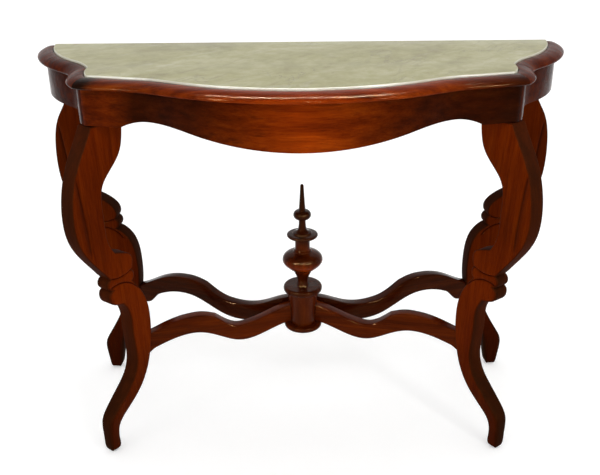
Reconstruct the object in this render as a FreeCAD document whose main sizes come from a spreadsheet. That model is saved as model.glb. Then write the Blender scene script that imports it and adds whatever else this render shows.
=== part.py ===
import FreeCAD, Part
import Sketcher
import math
import os

Vector = FreeCAD.Vector
Rotation = FreeCAD.Rotation
X_AXIS = Vector(1, 0, 0)
Y_AXIS = Vector(0, 1, 0)
Z_AXIS = Vector(0, 0, 1)
SIDES = {"left": -1, "right": 1}

os.makedirs("parts", exist_ok=True)
doc = FreeCAD.newDocument("pier_table")

# Driving sizes in millimetres and degrees. X runs along the wall, -Y is the front, Z is up.
SIZES = {
    "table_height": 850,
    "table_depth": 472,
    # plan of the marble
    "back_half_width": 568,
    "notch_half_width": 436,
    "notch_setback": 245,
    "corner_half_width": 422,
    "corner_round": 9,
    "crown_radius": 500,
    "crown_angle": 30,
    "flank_radius": 250,
    "flank_angle": 14,
    "cheek_angle": 26,
    "hollow_radius": 188,
    "hollow_start_angle": 20,
    "hollow_end_angle": 46,
    "marble_thickness": 22,
    "marble_proud": 4,
    "marble_gap": 1.5,
    # moulded rim and aprons
    "rim_reach": 37,
    "rim_thickness": 18,
    "rim_round": 7.5,
    "rim_end_round": 30,
    "mitre_angle": 51,
    "apron_reach": 19,
    "apron_ledge": 9,
    "apron_height": 76,
    "belly_drop": 21,
    "belly_half_width": 215,
    "belly_end_rise": 5,
    "belly_radius": 902,
    "arch_half_width": 300,
    "arch_rise": 16,
    "arch_hollow_radius": 350,
    "arch_end_half_width": 358,
    "arch_end_radius": 122,
    "back_rail_thickness": 20,
    "back_rail_inset": 4,
    "bearer_width": 50,
    "bearer_thickness": 28,
    "bearer_centre": 190,
    "front_block_start": 362,
    "front_block_setback": 236,
    "rear_block_start": 444,
    "rear_block_depth": 44,
    # legs
    "leg_thickness": 40,
    "sole_thickness": 28,
    "foot_taper_height": 120,
    "front_foot_half_span": 436,
    "front_foot_setback": 386,
    "front_leg_turn": 52,
    "front_leg_rake": 4,
    "rear_foot_half_span": 505,
    "rear_foot_setback": 42,
    "rear_leg_turn": 7,
    "bead_nose_radius": 16,
    "neck_depth": 3,
    "neck_upper_radius": 70,
    "neck_lower_radius": 60,
    "flute_depth": 3.5,
    "flute_outer_radius": 676,
    "flute_inner_radius": 1570,
    # stretchers, hub and finial
    "hub_setback": 215,
    "rail_thickness": 28,
    "rail_depth": 43,
    "rail_setback": 10,
    "barrel_bottom_radius": 30,
    "barrel_top_radius": 37.5,
    "barrel_swell": 250,
    "barrel_bottom": 234,
    "barrel_height": 82,
    "base_ring_radius": 44,
    "base_ring_height": 12,
    "cap_radius": 45,
    "cap_thickness": 14,
    "spigot_radius": 8,
    "spigot_length": 34,
    # fasteners
    "leg_dowel_radius": 5,
    "leg_dowel_length": 60,
    "leg_dowel_pitch": 28,
    "rail_dowel_radius": 4,
    "rail_dowel_length": 44,
    "rail_dowel_start": 18,
    "screw_radius": 2.25,
    "screw_length": 55,
    "screw_head_radius": 4.5,
    "screw_head_height": 3,
    "fit_clearance": 0.15,
}


class Size(float):
    """A number that also keeps the sheet formula it was worked out from."""

    def __new__(cls, value, formula):
        number = super().__new__(cls, value)
        number.formula = formula
        return number

    def __add__(self, other):
        return Size(float(self) + other, f"({self.formula} + {formula_of(other)})")

    def __sub__(self, other):
        return Size(float(self) - other, f"({self.formula} - {formula_of(other)})")

    def __mul__(self, other):
        return Size(float(self) * other, f"({self.formula} * {formula_of(other)})")

    def __truediv__(self, other):
        return Size(float(self) / other, f"({self.formula} / {formula_of(other)})")

    def __neg__(self):
        return Size(-float(self), f"(-1 * {self.formula})")


def formula_of(number):
    return getattr(number, "formula", repr(float(number)))


def sine(angle):
    return Size(math.sin(math.radians(angle)), f"sin({formula_of(angle)})")


def cosine(angle):
    return Size(math.cos(math.radians(angle)), f"cos({formula_of(angle)})")


def size(alias):
    return Size(SIZES[alias], f"Sizes.{alias}")


def fill_sheet():
    sheet = doc.addObject("Spreadsheet::Sheet", "Sizes")
    for row, (alias, value) in enumerate(SIZES.items(), start=1):
        sheet.set(f"A{row}", alias)
        sheet.set(f"B{row}", str(value))
        sheet.setAlias(f"B{row}", alias)
    doc.recompute()


def bind(piece, **sizes):
    """Ties properties to sizes. at_x, at_y and at_z place the piece."""
    for name, value in sizes.items():
        path = f".Placement.Base.{name[3:]}" if name.startswith("at_") else name
        piece.setExpression(path, formula_of(value))
    return piece


def turn(piece, rotation):
    piece.Placement = FreeCAD.Placement(piece.Placement.Base, rotation)
    return piece


fill_sheet()

back = size("table_depth") / 2
top = size("table_height")
marble_bottom = top - size("marble_thickness")
rim_top = top - size("marble_proud")
apron_top = rim_top - size("rim_thickness")
apron_bottom = apron_top - size("apron_height")
crown = -back + size("rim_reach")
hub_y = back - size("hub_setback")
rail_y = hub_y + size("rail_setback")


# Sketches. A closed outline is a start point and a list of segments, each ending at a point:
# ("line", end), ("arc", end, radius, side) with side +1 when it bulges to the left of the way
# it runs, and ("spline", poles) for a cubic whose last pole is its end.


def fix(sketch, element, point, place):
    for kind, value in zip(("DistanceX", "DistanceY"), place):
        index = sketch.addConstraint(Sketcher.Constraint(kind, element, point, float(value)))
        sketch.setExpression(f"Constraints[{index}]", formula_of(value))


def draw_line(sketch, begin, end):
    element = sketch.addGeometry(Part.LineSegment(Vector(*begin), Vector(*end)), False)
    fix(sketch, element, 1, begin)
    fix(sketch, element, 2, end)


def draw_arc(sketch, begin, end, radius, side):
    a = Vector(*begin)
    b = Vector(*end)
    chord = b - a
    left = Vector(-chord.y, chord.x, 0).normalize()
    rise = radius - math.sqrt(radius ** 2 - (chord.Length / 2) ** 2)
    middle = (a + b) / 2 + left * (side * rise)
    first, last = (begin, end) if side < 0 else (end, begin)
    element = sketch.addGeometry(Part.Arc(Vector(*first), middle, Vector(*last)), False)
    fix(sketch, element, 1, first)
    fix(sketch, element, 2, last)
    index = sketch.addConstraint(Sketcher.Constraint("Radius", element, float(radius)))
    sketch.setExpression(f"Constraints[{index}]", formula_of(radius))


def draw_spline(sketch, poles):
    curve = Part.BSplineCurve()
    curve.buildFromPoles([Vector(*pole) for pole in poles], False, 3)
    element = sketch.addGeometry(curve, False)
    sketch.exposeInternalGeometry(element)
    for number, pole in enumerate(poles, start=1):
        fix(sketch, element + number, 3, pole)


def draw_outline(sketch, begin, segments):
    here = begin
    for kind, *data in segments:
        if kind == "line":
            draw_line(sketch, here, data[0])
            here = data[0]
        elif kind == "arc":
            draw_arc(sketch, here, *data)
            here = data[0]
        else:
            draw_spline(sketch, [here, *data[0]])
            here = data[0][-1]
    return sketch


def mirrored(begin, segments):
    """The same outline's other half, run backwards from its last point to its first."""
    ends = [begin] + [segment[1] for segment in segments]
    flipped = []
    for segment, end in zip(reversed(segments), reversed(ends[:-1])):
        flipped.append((segment[0], (-end[0], end[1]), *segment[2:]))
    return flipped


def document_sketch(name, begin, segments, rotation=None):
    sketch = doc.addObject("Sketcher::SketchObject", name)
    draw_outline(sketch, begin, segments)
    if rotation:
        turn(sketch, rotation)
    return sketch


# Solids


def extrusion(name, outline, direction, length, **places):
    solid = doc.addObject("Part::Extrusion", name)
    solid.Base = outline
    solid.DirMode = "Custom"
    solid.Dir = direction
    solid.Solid = True
    return bind(solid, LengthFwd=length, **places)


def box(name, x_range, y_range, z_range):
    solid = doc.addObject("Part::Box", name)
    return bind(
        solid,
        Length=x_range[1] - x_range[0],
        Width=y_range[1] - y_range[0],
        Height=z_range[1] - z_range[0],
        at_x=x_range[0],
        at_y=y_range[0],
        at_z=z_range[0],
    )


def common(name, base, tool):
    solid = doc.addObject("Part::Common", name)
    solid.Base = base
    solid.Tool = tool
    return solid


def cut(name, base, tool):
    solid = doc.addObject("Part::Cut", name)
    solid.Base = base
    solid.Tool = tool
    return solid


def together(name, pieces):
    group = doc.addObject("Part::Compound", name)
    group.Links = pieces
    return group


# The top: one plan outline, widened or narrowed for the rim and the aprons.


def tangent_radius(begin, angle, end):
    """Radius of the arc that leaves begin at an angle from straight back and passes through end."""
    across = end[0] - begin[0]
    along = end[1] - begin[1]
    return (across * across + along * along) / ((along * sine(angle) - across * cosine(angle)) * 2)


def half_plan():
    """Right half of the marble's plan, carried past the wall line so that offsets stay clean."""
    tilt = size("crown_angle")
    slope = size("flank_angle")
    start_angle = size("hollow_start_angle")
    end_angle = size("hollow_end_angle")
    crown_radius = size("crown_radius")
    flank_radius = size("flank_radius")
    hollow_radius = size("hollow_radius")
    corner_x = size("corner_half_width")
    begin = (crown * 0, crown)
    crown_end = (crown_radius * sine(tilt), crown + crown_radius - crown_radius * cosine(tilt))
    flank_end = (
        crown_end[0] + flank_radius * (sine(tilt) - sine(slope)),
        crown_end[1] + flank_radius * (cosine(slope) - cosine(tilt)),
    )
    corner_y = flank_end[1] + (corner_x - flank_end[0]) * sine(slope) / cosine(slope)
    cheek_angle = size("cheek_angle")
    half_turn = (-(slope + cheek_angle) + 90) / 2
    trim = size("corner_round") * sine(half_turn) / cosine(half_turn)
    corner_begin = (corner_x - trim * cosine(slope), corner_y - trim * sine(slope))
    corner_end = (corner_x + trim * sine(cheek_angle), corner_y + trim * cosine(cheek_angle))
    notch = (size("notch_half_width"), back - size("notch_setback"))
    hollow_end = (
        notch[0] + hollow_radius * (cosine(start_angle) - cosine(end_angle)),
        notch[1] + hollow_radius * (sine(end_angle) - sine(start_angle)),
    )
    back_corner = (size("back_half_width"), back)
    behind = back + 80
    segments = [
        ("arc", crown_end, crown_radius, -1),
        ("arc", flank_end, flank_radius, 1),
        ("line", corner_begin),
        ("arc", corner_end, size("corner_round"), -1),
        ("arc", notch, tangent_radius(corner_end, cheek_angle, notch), -1),
        ("arc", hollow_end, hollow_radius, 1),
        ("arc", back_corner, tangent_radius(hollow_end, end_angle, back_corner), -1),
        ("line", (back_corner[0], behind)),
        ("line", (crown * 0, behind)),
    ]
    return begin, segments, (corner_x, corner_y)


def full_plan():
    begin, segments, corner = half_plan()
    sketch = document_sketch("plan", begin, segments + mirrored(begin, segments))
    return sketch, corner


def offset_plan(name, plan, distance):
    """The plan grown or shrunk by a distance, with arcs round its corners."""
    outline = doc.addObject("Part::Feature", name)
    outline.Shape = Part.Face(plan.Shape.Wires[0].makeOffset2D(float(distance), 0))
    return outline


def room(name, z_range):
    """Everything in front of the wall line between two levels."""
    reach = size("back_half_width") + 200
    return box(name, (-reach, reach), (-back - 200, back), z_range)


def slab(name, outline, z_range):
    solid = extrusion(f"{name}_stock", outline, Z_AXIS, z_range[1] - z_range[0], at_z=z_range[0])
    return common(name, solid, room(f"{name}_room", z_range))


def band(name, outer, inner, z_range):
    """A strip that follows the plan between two offset outlines."""
    core = extrusion(
        f"{name}_core", inner, Z_AXIS, z_range[1] - z_range[0] + 20, at_z=z_range[0] - 10
    )
    return cut(name, slab(f"{name}_outer", outer, z_range), core)


def mitre_wedge(corner):
    """The part of the plan in front of both mitres, from floor to top."""
    lean = size("mitre_angle")
    tangent = sine(lean) / cosine(lean)
    apex = corner[1] + corner[0] * tangent
    near = -back - 100
    half = (apex - near) / tangent
    segments = [("line", (half, near)), ("line", (crown * 0, apex)), ("line", (-half, near))]
    outline = document_sketch("mitre_outline", (-half, near), segments)
    return extrusion("mitre_wedge", outline, Z_AXIS, top + 20)


def split_band(strip, wedge, front_name, side_name):
    """Cuts a strip at the front corners into its front, left and right lengths."""
    pieces = {front_name: common(f"{front_name}_length", strip, wedge)}
    sides = cut(f"{side_name}_both", strip, wedge)
    reach = size("back_half_width") + 200
    for side, sign in SIDES.items():
        x_range = (reach * 0, reach) if sign > 0 else (-reach, reach * 0)
        half = box(f"{side_name}_{side}_half", x_range, (-back - 200, back), (top * 0, top + 20))
        pieces[f"{side_name}_{side}"] = common(f"{side_name}_{side}_length", sides, half)
    return pieces


def rim(plan, inner, wedge):
    """A strip with a half-round nose, which runs round the rear ends as well."""
    nose = size("rim_round")
    end_radius = size("rim_end_round") - nose
    end_x = size("back_half_width") + size("rim_reach") - nose
    end_y = back - nose
    near = -back - 100
    segments = [
        ("line", (end_x, near)),
        ("line", (end_x, end_y - end_radius)),
        ("arc", (end_x - end_radius, end_y), end_radius, -1),
        ("line", (end_radius - end_x, end_y)),
        ("arc", (-end_x, end_y - end_radius), end_radius, -1),
        ("line", (-end_x, near)),
    ]
    limit = document_sketch("rim_limit", (-end_x, near), segments)
    outer = offset_plan("rim_outer", plan, size("rim_reach") - nose)
    thickness = size("rim_thickness") - nose * 2
    plate = extrusion("rim_plate", outer, Z_AXIS, thickness, at_z=apron_top + nose)
    stock = common("rim_stock", plate, extrusion("rim_limit_solid", limit, Z_AXIS, top + 20))
    doc.recompute()
    nosed = doc.addObject("Part::Offset", "rim_nosed")
    nosed.Source = stock
    nosed.Mode = "Skin"
    nosed.Join = "Arc"
    bind(nosed, Value=nose)
    core = extrusion("rim_core", inner, Z_AXIS, size("rim_thickness") + 20, at_z=apron_top - 10)
    return split_band(cut("rim_strip", nosed, core), wedge, "rim_front", "rim")


def apron_face():
    """Front view of the front apron, with its belly, its arches and its straight ends."""
    bottom = apron_bottom
    begin = (crown * 0, bottom - size("belly_drop"))
    belly_end = (size("belly_half_width"), bottom + size("belly_end_rise"))
    arch = (size("arch_half_width"), bottom + size("arch_rise"))
    arch_end = (size("arch_end_half_width"), bottom)
    far = size("back_half_width") + 100
    segments = [
        ("arc", belly_end, size("belly_radius"), -1),
        ("arc", arch, size("arch_hollow_radius"), 1),
        ("arc", arch_end, size("arch_end_radius"), 1),
        ("line", (far, bottom)),
        ("line", (far, apron_top)),
        ("line", (crown * 0, apron_top)),
    ]
    outline = document_sketch(
        "apron_face", begin, segments + mirrored(begin, segments), Rotation(X_AXIS, 90)
    )
    return extrusion("apron_face_solid", outline, Vector(0, -1, 0), back * 2 + 300, at_y=back + 50)


def aprons(plan, inner, wedge):
    outer = offset_plan("apron_outer", plan, size("apron_reach"))
    lowest = apron_bottom - size("belly_drop") - 5
    strip = band("apron_strip", outer, inner, (lowest, apron_top))
    shaped = common("apron_shaped", strip, apron_face())
    return split_band(shaped, wedge, "apron_front", "apron")


# Bodies made from sketches


def body_sketch(body, name, role, begin, segments, offset=None):
    sketch = body.newObject("Sketcher::SketchObject", name)
    plane = next(item for item in body.Origin.OriginFeatures if item.Role == role)
    sketch.AttachmentSupport = [(plane, "")]
    sketch.MapMode = "FlatFace"
    if offset is not None:
        sketch.setExpression(".AttachmentOffset.Base.z", formula_of(offset))
    draw_outline(sketch, begin, segments)
    sketch.Visibility = False
    return sketch


def pad(body, name, sketch, length, centred=True):
    feature = body.newObject("PartDesign::Pad", name)
    feature.Profile = sketch
    feature.Midplane = centred
    return bind(feature, Length=length)


def rectangle(x_range, y_range):
    begin = (x_range[0], y_range[0])
    segments = [
        ("line", (x_range[1], y_range[0])),
        ("line", (x_range[1], y_range[1])),
        ("line", (x_range[0], y_range[1])),
        ("line", begin),
    ]
    return begin, segments


# Legs. An outline is given square to the plank as (out from the sole, up) in the standing
# height of 752 mm, and keeps its proportions when the table is made higher or lower.
LEG_STANDING_HEIGHT = 752
LEG_OUTLINES = {
    "front": {
        "top": (-10, 765),
        "shoulder": [(9, 722), (53, 668), (69, 510), (14, 460), (-18, 418)],
        "outer_bead": (-20, 391),
        "knob": [(-6, 386), (-6, 360), (-26, 352), (-48, 351)],
        "calf": [(-69, 323), (-61, 285), (-81, 187), (-40, 137), (14, 87), (15, 70)],
        "heel": (12, -12),
        "sole": (-4, -12),
        "shin": [(-4, 62), (-49, 98), (-113, 169), (-127, 318), (-106, 363), (-78, 397)],
        "inner_bead": (-78, 424),
        "scroll": [(-95, 452), (-53, 476), (-31, 487)],
        "hollow": [(-18, 508), (-18, 564), (-10, 635), (-86, 682), (-83, 745), (-86, 765)],
        "neck": (-42, 408),
        "flute": ((38, 664), (22, 470)),
    },
    "rear": {
        "top": (28, 765),
        "shoulder": [(42, 710), (78, 695), (82, 490), (37, 479), (10, 430)],
        "outer_bead": (8, 403),
        "knob": [(20, 398), (20, 374), (2, 365), (-22, 364)],
        "calf": [(-41, 338), (-39, 300), (-56, 208), (-27, 148), (4, 98), (14, 77)],
        "heel": (3, -12),
        "sole": (-21, -12),
        "shin": [(-34, 37), (-32, 106), (-94, 207), (-101, 317), (-89, 393), (-52, 410)],
        "inner_bead": (-52, 437),
        "scroll": [(-69, 466), (-29, 486), (-5, 497)],
        "hollow": [(5, 521), (4, 565), (21, 644), (-52, 689), (-46, 744), (-54, 765)],
        "neck": (-16, 420),
        "flute": ((62, 676), (46, 482)),
    },
}
LEG_SEATS = {"front": -36, "rear": 4}


def leg_turn(row, side):
    """Turn of a leg about the upright: its outline then runs outward from the sole."""
    turn_angle = size(f"{row}_leg_turn")
    outward = -turn_angle if row == "front" else turn_angle
    return outward if side == "right" else -outward + 180


def leg_rotation(row, side):
    rake = -size("front_leg_rake") if row == "front" else 0
    return Rotation(X_AXIS, float(rake)) * Rotation(Z_AXIS, float(leg_turn(row, side)))


def leg_point(row, side, out, up):
    """Where a point of the leg's middle plane lies in the room."""
    foot = Vector(
        SIDES[side] * size(f"{row}_foot_half_span"), back - size(f"{row}_foot_setback"), 0
    )
    rise = apron_bottom / LEG_STANDING_HEIGHT
    return foot + leg_rotation(row, side).multVec(Vector(out, 0, up * rise))


def leg_outline(row):
    rise = apron_bottom / LEG_STANDING_HEIGHT
    zero = rise * 0

    def at(point):
        return (zero + point[0], rise * point[1])

    shape = LEG_OUTLINES[row]
    segments = [
        ("spline", [at(point) for point in shape["shoulder"]]),
        ("arc", at(shape["outer_bead"]), size("bead_nose_radius"), 1),
        ("spline", [at(point) for point in shape["knob"]]),
        ("spline", [at(point) for point in shape["calf"]]),
        ("line", at(shape["heel"])),
        ("line", at(shape["sole"])),
        ("spline", [at(point) for point in shape["shin"]]),
        ("arc", at(shape["inner_bead"]), size("bead_nose_radius"), 1),
        ("spline", [at(point) for point in shape["scroll"]]),
        ("spline", [at(point) for point in shape["hollow"]]),
        ("line", at(shape["top"])),
    ]
    return at(shape["top"]), segments


def neck_carving(body, row):
    """Sinks a bead between the round ends of shoulder and shin, on both broad faces."""
    rise = apron_bottom / LEG_STANDING_HEIGHT
    middle, level = LEG_OUTLINES[row]["neck"]
    centre = rise * level
    left = rise * 0 + (middle - 55)
    right = rise * 0 + (middle + 55)
    begin = (right, centre + 34)
    segments = [
        ("arc", (left, centre + 34), size("neck_upper_radius"), 1),
        ("line", (left, centre - 43)),
        ("arc", (right, centre - 43), size("neck_lower_radius"), 1),
        ("line", begin),
    ]
    half = size("leg_thickness") / 2
    for name, sign in (("front_neck", -1), ("back_neck", 1)):
        sketch = body_sketch(body, f"{name}_outline", "XZ_Plane", begin, segments, half * sign)
        feature = body.newObject("PartDesign::Pocket", name)
        feature.Profile = sketch
        feature.Reversed = sign < 0
        bind(feature, Length=size("neck_depth"))


def foot_taper(body):
    """Thins the plank evenly from both broad faces down to the sole."""
    high = size("foot_taper_height")
    half = size("leg_thickness") / 2
    sole = size("sole_thickness") / 2
    low = sole - (half - sole) * 14 / high
    far = half + 10
    for name, sign in (("front_taper", -1), ("back_taper", 1)):
        begin = (half * sign, high)
        segments = [
            ("line", (low * sign, high * 0 - 14)),
            ("line", (far * sign, high * 0 - 14)),
            ("line", (far * sign, high)),
            ("line", begin),
        ]
        sketch = body_sketch(body, f"{name}_outline", "YZ_Plane", begin, segments)
        feature = body.newObject("PartDesign::Pocket", name)
        feature.Profile = sketch
        feature.Type = "ThroughAll"
        feature.Midplane = True


def flute(body, row, side):
    """A shallow carved hollow down the shoulder of the face seen from the front."""
    rise = apron_bottom / LEG_STANDING_HEIGHT
    high, low = [(rise * 0 + out, rise * up) for out, up in LEG_OUTLINES[row]["flute"]]
    segments = [("arc", low, size("flute_outer_radius"), 1)]
    segments.append(("arc", high, size("flute_inner_radius"), 1))
    half = size("leg_thickness") / 2
    offset = half if side == "right" else -half
    sketch = body_sketch(body, "flute_outline", "XZ_Plane", high, segments, offset)
    feature = body.newObject("PartDesign::Pocket", "flute")
    feature.Profile = sketch
    feature.Reversed = side == "left"
    bind(feature, Length=size("flute_depth"))


def leg(row, side, standing_room, bores):
    name = f"leg_{row}_{side}"
    body = doc.addObject("PartDesign::Body", f"{name}_plank")
    begin, segments = leg_outline(row)
    outline = body_sketch(body, "outline", "XZ_Plane", begin, segments)
    pad(body, "plank", outline, size("leg_thickness"))
    neck_carving(body, row)
    foot_taper(body)
    flute(body, row, side)
    bind(
        body,
        at_x=size(f"{row}_foot_half_span") * SIDES[side],
        at_y=back - size(f"{row}_foot_setback"),
    )
    turn(body, leg_rotation(row, side))
    return cut(name, common(f"{name}_standing", body, standing_room), bores)


# Stretcher: four wavy rails from the legs to a turned hub. A rail's middle line is given as
# (out from the hub, level) for a rail that meets its leg at the stated reach.
RAIL_LINES = {
    "front": {
        "reach": 368,
        "poles": [
            (14, 260.4), (42, 260), (106, 226), (164, 214),
            (241, 268), (336, 234), (364, 217), (400, 208),
        ],
        "meets_leg": (-116, 225),
        "hub_level": 252,
        "leg_level": 222,
    },
    "rear": {
        "reach": 441,
        "poles": [
            (14, 270), (52, 269), (104, 229), (202, 222),
            (282, 281), (379, 270), (430, 230), (462, 226),
        ],
        "meets_leg": (-95, 240),
        "hub_level": 262,
        "leg_level": 236,
    },
}


def rail_way(row, side):
    """Direction in plan and reach of a rail, from the hub to the inner edge of its leg."""
    way = leg_point(row, side, *RAIL_LINES[row]["meets_leg"]) - Vector(0, rail_y, 0)
    return math.degrees(math.atan2(way.y, way.x)), math.hypot(way.x, way.y)


def leg_scribe(row, side):
    """The leg's outline made far thicker than the leg, to shape the end of a rail."""
    body = doc.getObject(f"leg_{row}_{side}_plank")
    outline = next(item for item in body.Group if item.Name.startswith("outline"))
    block = extrusion(f"leg_{row}_{side}_scribe", outline, Y_AXIS, size("leg_thickness") * 2)
    bind(block, LengthRev=size("leg_thickness") * 2)
    turn(block, leg_rotation(row, side))
    return bind(
        block,
        at_x=size(f"{row}_foot_half_span") * SIDES[side],
        at_y=back - size(f"{row}_foot_setback"),
    )


def rail(row, side, barrel, bores, neighbour=None):
    name = f"stretcher_{row}_{side}"
    line = RAIL_LINES[row]
    angle, reach = rail_way(row, side)
    stretch = reach / line["reach"]
    half = size("rail_depth") / 2
    upper = [(half * 0 + out * stretch, half + level) for out, level in line["poles"]]
    lower = [(half * 0 + out * stretch, -half + level) for out, level in line["poles"]]
    segments = [
        ("spline", upper[1:]),
        ("line", lower[-1]),
        ("spline", lower[-2::-1]),
        ("line", upper[0]),
    ]
    body = doc.addObject("PartDesign::Body", f"{name}_plank")
    outline = body_sketch(body, "rail_outline", "XZ_Plane", upper[0], segments)
    pad(body, "rail", outline, size("rail_thickness"))
    bind(body, at_y=rail_y)
    turn(body, Rotation(Z_AXIS, angle))
    trimmed = cut(f"{name}_outer_end", body, leg_scribe(row, side))
    trimmed = cut(f"{name}_inner_end", trimmed, barrel)
    if neighbour:
        trimmed = cut(f"{name}_mitred", trimmed, neighbour)
    return cut(name, trimmed, bores)


def turned(name, begin, segments):
    """A piece turned on the lathe: its half section spun round the hub's axis."""
    body = doc.addObject("PartDesign::Body", name)
    section = body_sketch(body, "section", "XZ_Plane", begin, segments)
    feature = body.newObject("PartDesign::Revolution", "turning")
    feature.Profile = section
    feature.ReferenceAxis = (section, ["V_Axis"])
    feature.Angle = 360
    return bind(body, at_y=hub_y)


def hub_barrel():
    bottom = size("barrel_bottom")
    high = bottom + size("barrel_height")
    axis = high * 0
    hole = size("spigot_radius") + size("fit_clearance")
    depth = size("spigot_length") - size("cap_thickness") + 1
    segments = [
        ("line", (size("barrel_bottom_radius"), bottom)),
        ("arc", (size("barrel_top_radius"), high), size("barrel_swell"), -1),
        ("line", (hole, high)),
        ("line", (hole, high - depth)),
        ("line", (axis, high - depth)),
        ("line", (axis, bottom)),
    ]
    return turned("hub_barrel", (axis, bottom), segments)


def hub_base_ring():
    high = size("barrel_bottom")
    low = high - size("base_ring_height")
    nose = size("base_ring_height") / 2
    edge = size("base_ring_radius") - nose * 0.82
    segments = [
        ("line", (edge, low)),
        ("arc", (edge, high), nose * 1.02, -1),
        ("line", (high * 0, high)),
        ("line", (high * 0, low)),
    ]
    return turned("hub_base_ring", (high * 0, low), segments)


def hub_cap():
    low = size("barrel_bottom") + size("barrel_height")
    high = low + size("cap_thickness")
    hole = size("spigot_radius") + size("fit_clearance")
    edge = size("cap_radius") - size("cap_thickness") / 2 * 0.82
    segments = [
        ("line", (edge, low)),
        ("arc", (edge, high), size("cap_thickness") / 2 * 1.02, -1),
        ("line", (hole, high)),
        ("line", (hole, low)),
    ]
    return turned("hub_cap", (hole, low), segments)


# Half section of the finial above the cap, as (radius, height over the cap).
FINIAL_FOOT = [(24, 0), (24, 3), (14, 8), (14, 17)]
FINIAL_URN = [(33, 19), (49, 43), (45, 82), (18, 90), (17.5, 104)]
FINIAL_SAUCER = [(20, 114), (30, 117), (34.5, 121), (34.5, 125), (31, 128), (19, 131), (16, 136)]
FINIAL_NECK = [(7.5, 139), (7.5, 158), (11, 164)]
FINIAL_RING = ((11, 189), 13.3)
FINIAL_SPIRE = [(6, 190), (9, 215), (4, 244), (0, 249)]


def finial():
    base = size("barrel_bottom") + size("barrel_height") + size("cap_thickness")

    def at(point):
        return (base * 0 + point[0], base + point[1])

    foot = base - size("spigot_length")
    segments = [("line", (size("spigot_radius"), foot)), ("line", (size("spigot_radius"), base))]
    segments += [("line", at(point)) for point in FINIAL_FOOT]
    segments.append(("spline", [at(point) for point in FINIAL_URN]))
    segments += [("line", at(point)) for point in FINIAL_SAUCER + FINIAL_NECK]
    segments.append(("arc", at(FINIAL_RING[0]), base * 0 + FINIAL_RING[1], -1))
    segments.append(("spline", [at(point) for point in FINIAL_SPIRE]))
    segments.append(("line", (base * 0, foot)))
    return turned("finial", (base * 0, foot), segments)


# Frame behind the aprons


def frame_piece(name, stock, x_range, y_range, z_range, bores):
    blank = box(f"{name}_box", x_range, y_range, z_range)
    return cut(name, common(f"{name}_blank", stock, blank), bores)


def mirrored_range(x_range, side):
    return x_range if side == "right" else (-x_range[1], -x_range[0])


def back_rail_range():
    rear = back - size("back_rail_inset")
    return (rear - size("back_rail_thickness"), rear)


def frame_pieces(inner, bores):
    """Back rail, corner blocks and bearers, all fitted to the inside of the aprons."""
    stock = extrusion("frame_stock", inner, Z_AXIS, size("apron_height"), at_z=apron_bottom)
    full = (apron_bottom, apron_top)
    reach = size("back_half_width")
    rail_y = back_rail_range()
    pieces = [frame_piece("back_rail", stock, (-reach, reach), rail_y, full, bores)]
    for side in SIDES:
        rear_y = (rail_y[0] - size("rear_block_depth"), rail_y[0])
        rear_x = mirrored_range((size("rear_block_start"), reach), side)
        pieces.append(frame_piece(f"corner_block_rear_{side}", stock, rear_x, rear_y, full, bores))
        front_y = (-back, back - size("front_block_setback"))
        front_x = mirrored_range((size("front_block_start"), reach), side)
        pieces.append(
            frame_piece(f"corner_block_front_{side}", stock, front_x, front_y, full, bores)
        )
        half = size("bearer_width") / 2
        bearer_x = mirrored_range((size("bearer_centre") - half, size("bearer_centre") + half), side)
        bearer_z = (apron_top - size("bearer_thickness"), apron_top)
        pieces.append(
            frame_piece(f"bearer_{side}", stock, bearer_x, (-back, rail_y[0]), bearer_z, bores)
        )
    return pieces


# Fasteners: round bars, and the slightly wider bores they sit in


def bar(name, radius, length, begin, way):
    solid = doc.addObject("Part::Cylinder", name)
    bind(solid, Radius=radius, Height=length)
    solid.Placement = FreeCAD.Placement(begin, Rotation(Z_AXIS, way))
    return solid


def bar_and_bore(name, radius, length, begin, way):
    way = Vector(way).normalize()
    clearance = size("fit_clearance")
    wide = bar(f"{name}_bore", radius + clearance, length + 1, begin - way * 0.5, way)
    return bar(name, radius, length, begin, way), wide


def leg_dowels():
    """Two upright dowels from each leg into its corner block."""
    pairs = []
    length = size("leg_dowel_length")
    for row in LEG_SEATS:
        for side in SIDES:
            for step in (-0.5, 0.5):
                out = LEG_SEATS[row] - 14 + step * size("leg_dowel_pitch")
                seat = leg_point(row, side, out, LEG_STANDING_HEIGHT)
                begin = Vector(seat.x, seat.y, apron_bottom - length / 2)
                name = f"leg_dowel_{row}_{side}_{'a' if step < 0 else 'b'}"
                pairs.append(bar_and_bore(name, size("leg_dowel_radius"), length, begin, Z_AXIS))
    return pairs


def rail_dowels():
    """A dowel at each end of each rail, along the rail."""
    pairs = []
    radius = size("rail_dowel_radius")
    length = size("rail_dowel_length")
    for row, line in RAIL_LINES.items():
        for side in SIDES:
            angle, reach = rail_way(row, side)
            way = Vector(math.cos(math.radians(angle)), math.sin(math.radians(angle)), 0)
            ends = {
                "hub": (size("rail_dowel_start"), line["hub_level"]),
                "leg": (reach - length / 2, line["leg_level"]),
            }
            for end, (out, level) in ends.items():
                begin = Vector(0, rail_y, level) + way * float(out)
                name = f"rail_dowel_{row}_{side}_{end}"
                pairs.append(bar_and_bore(name, radius, length, begin, way))
    return pairs


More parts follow.
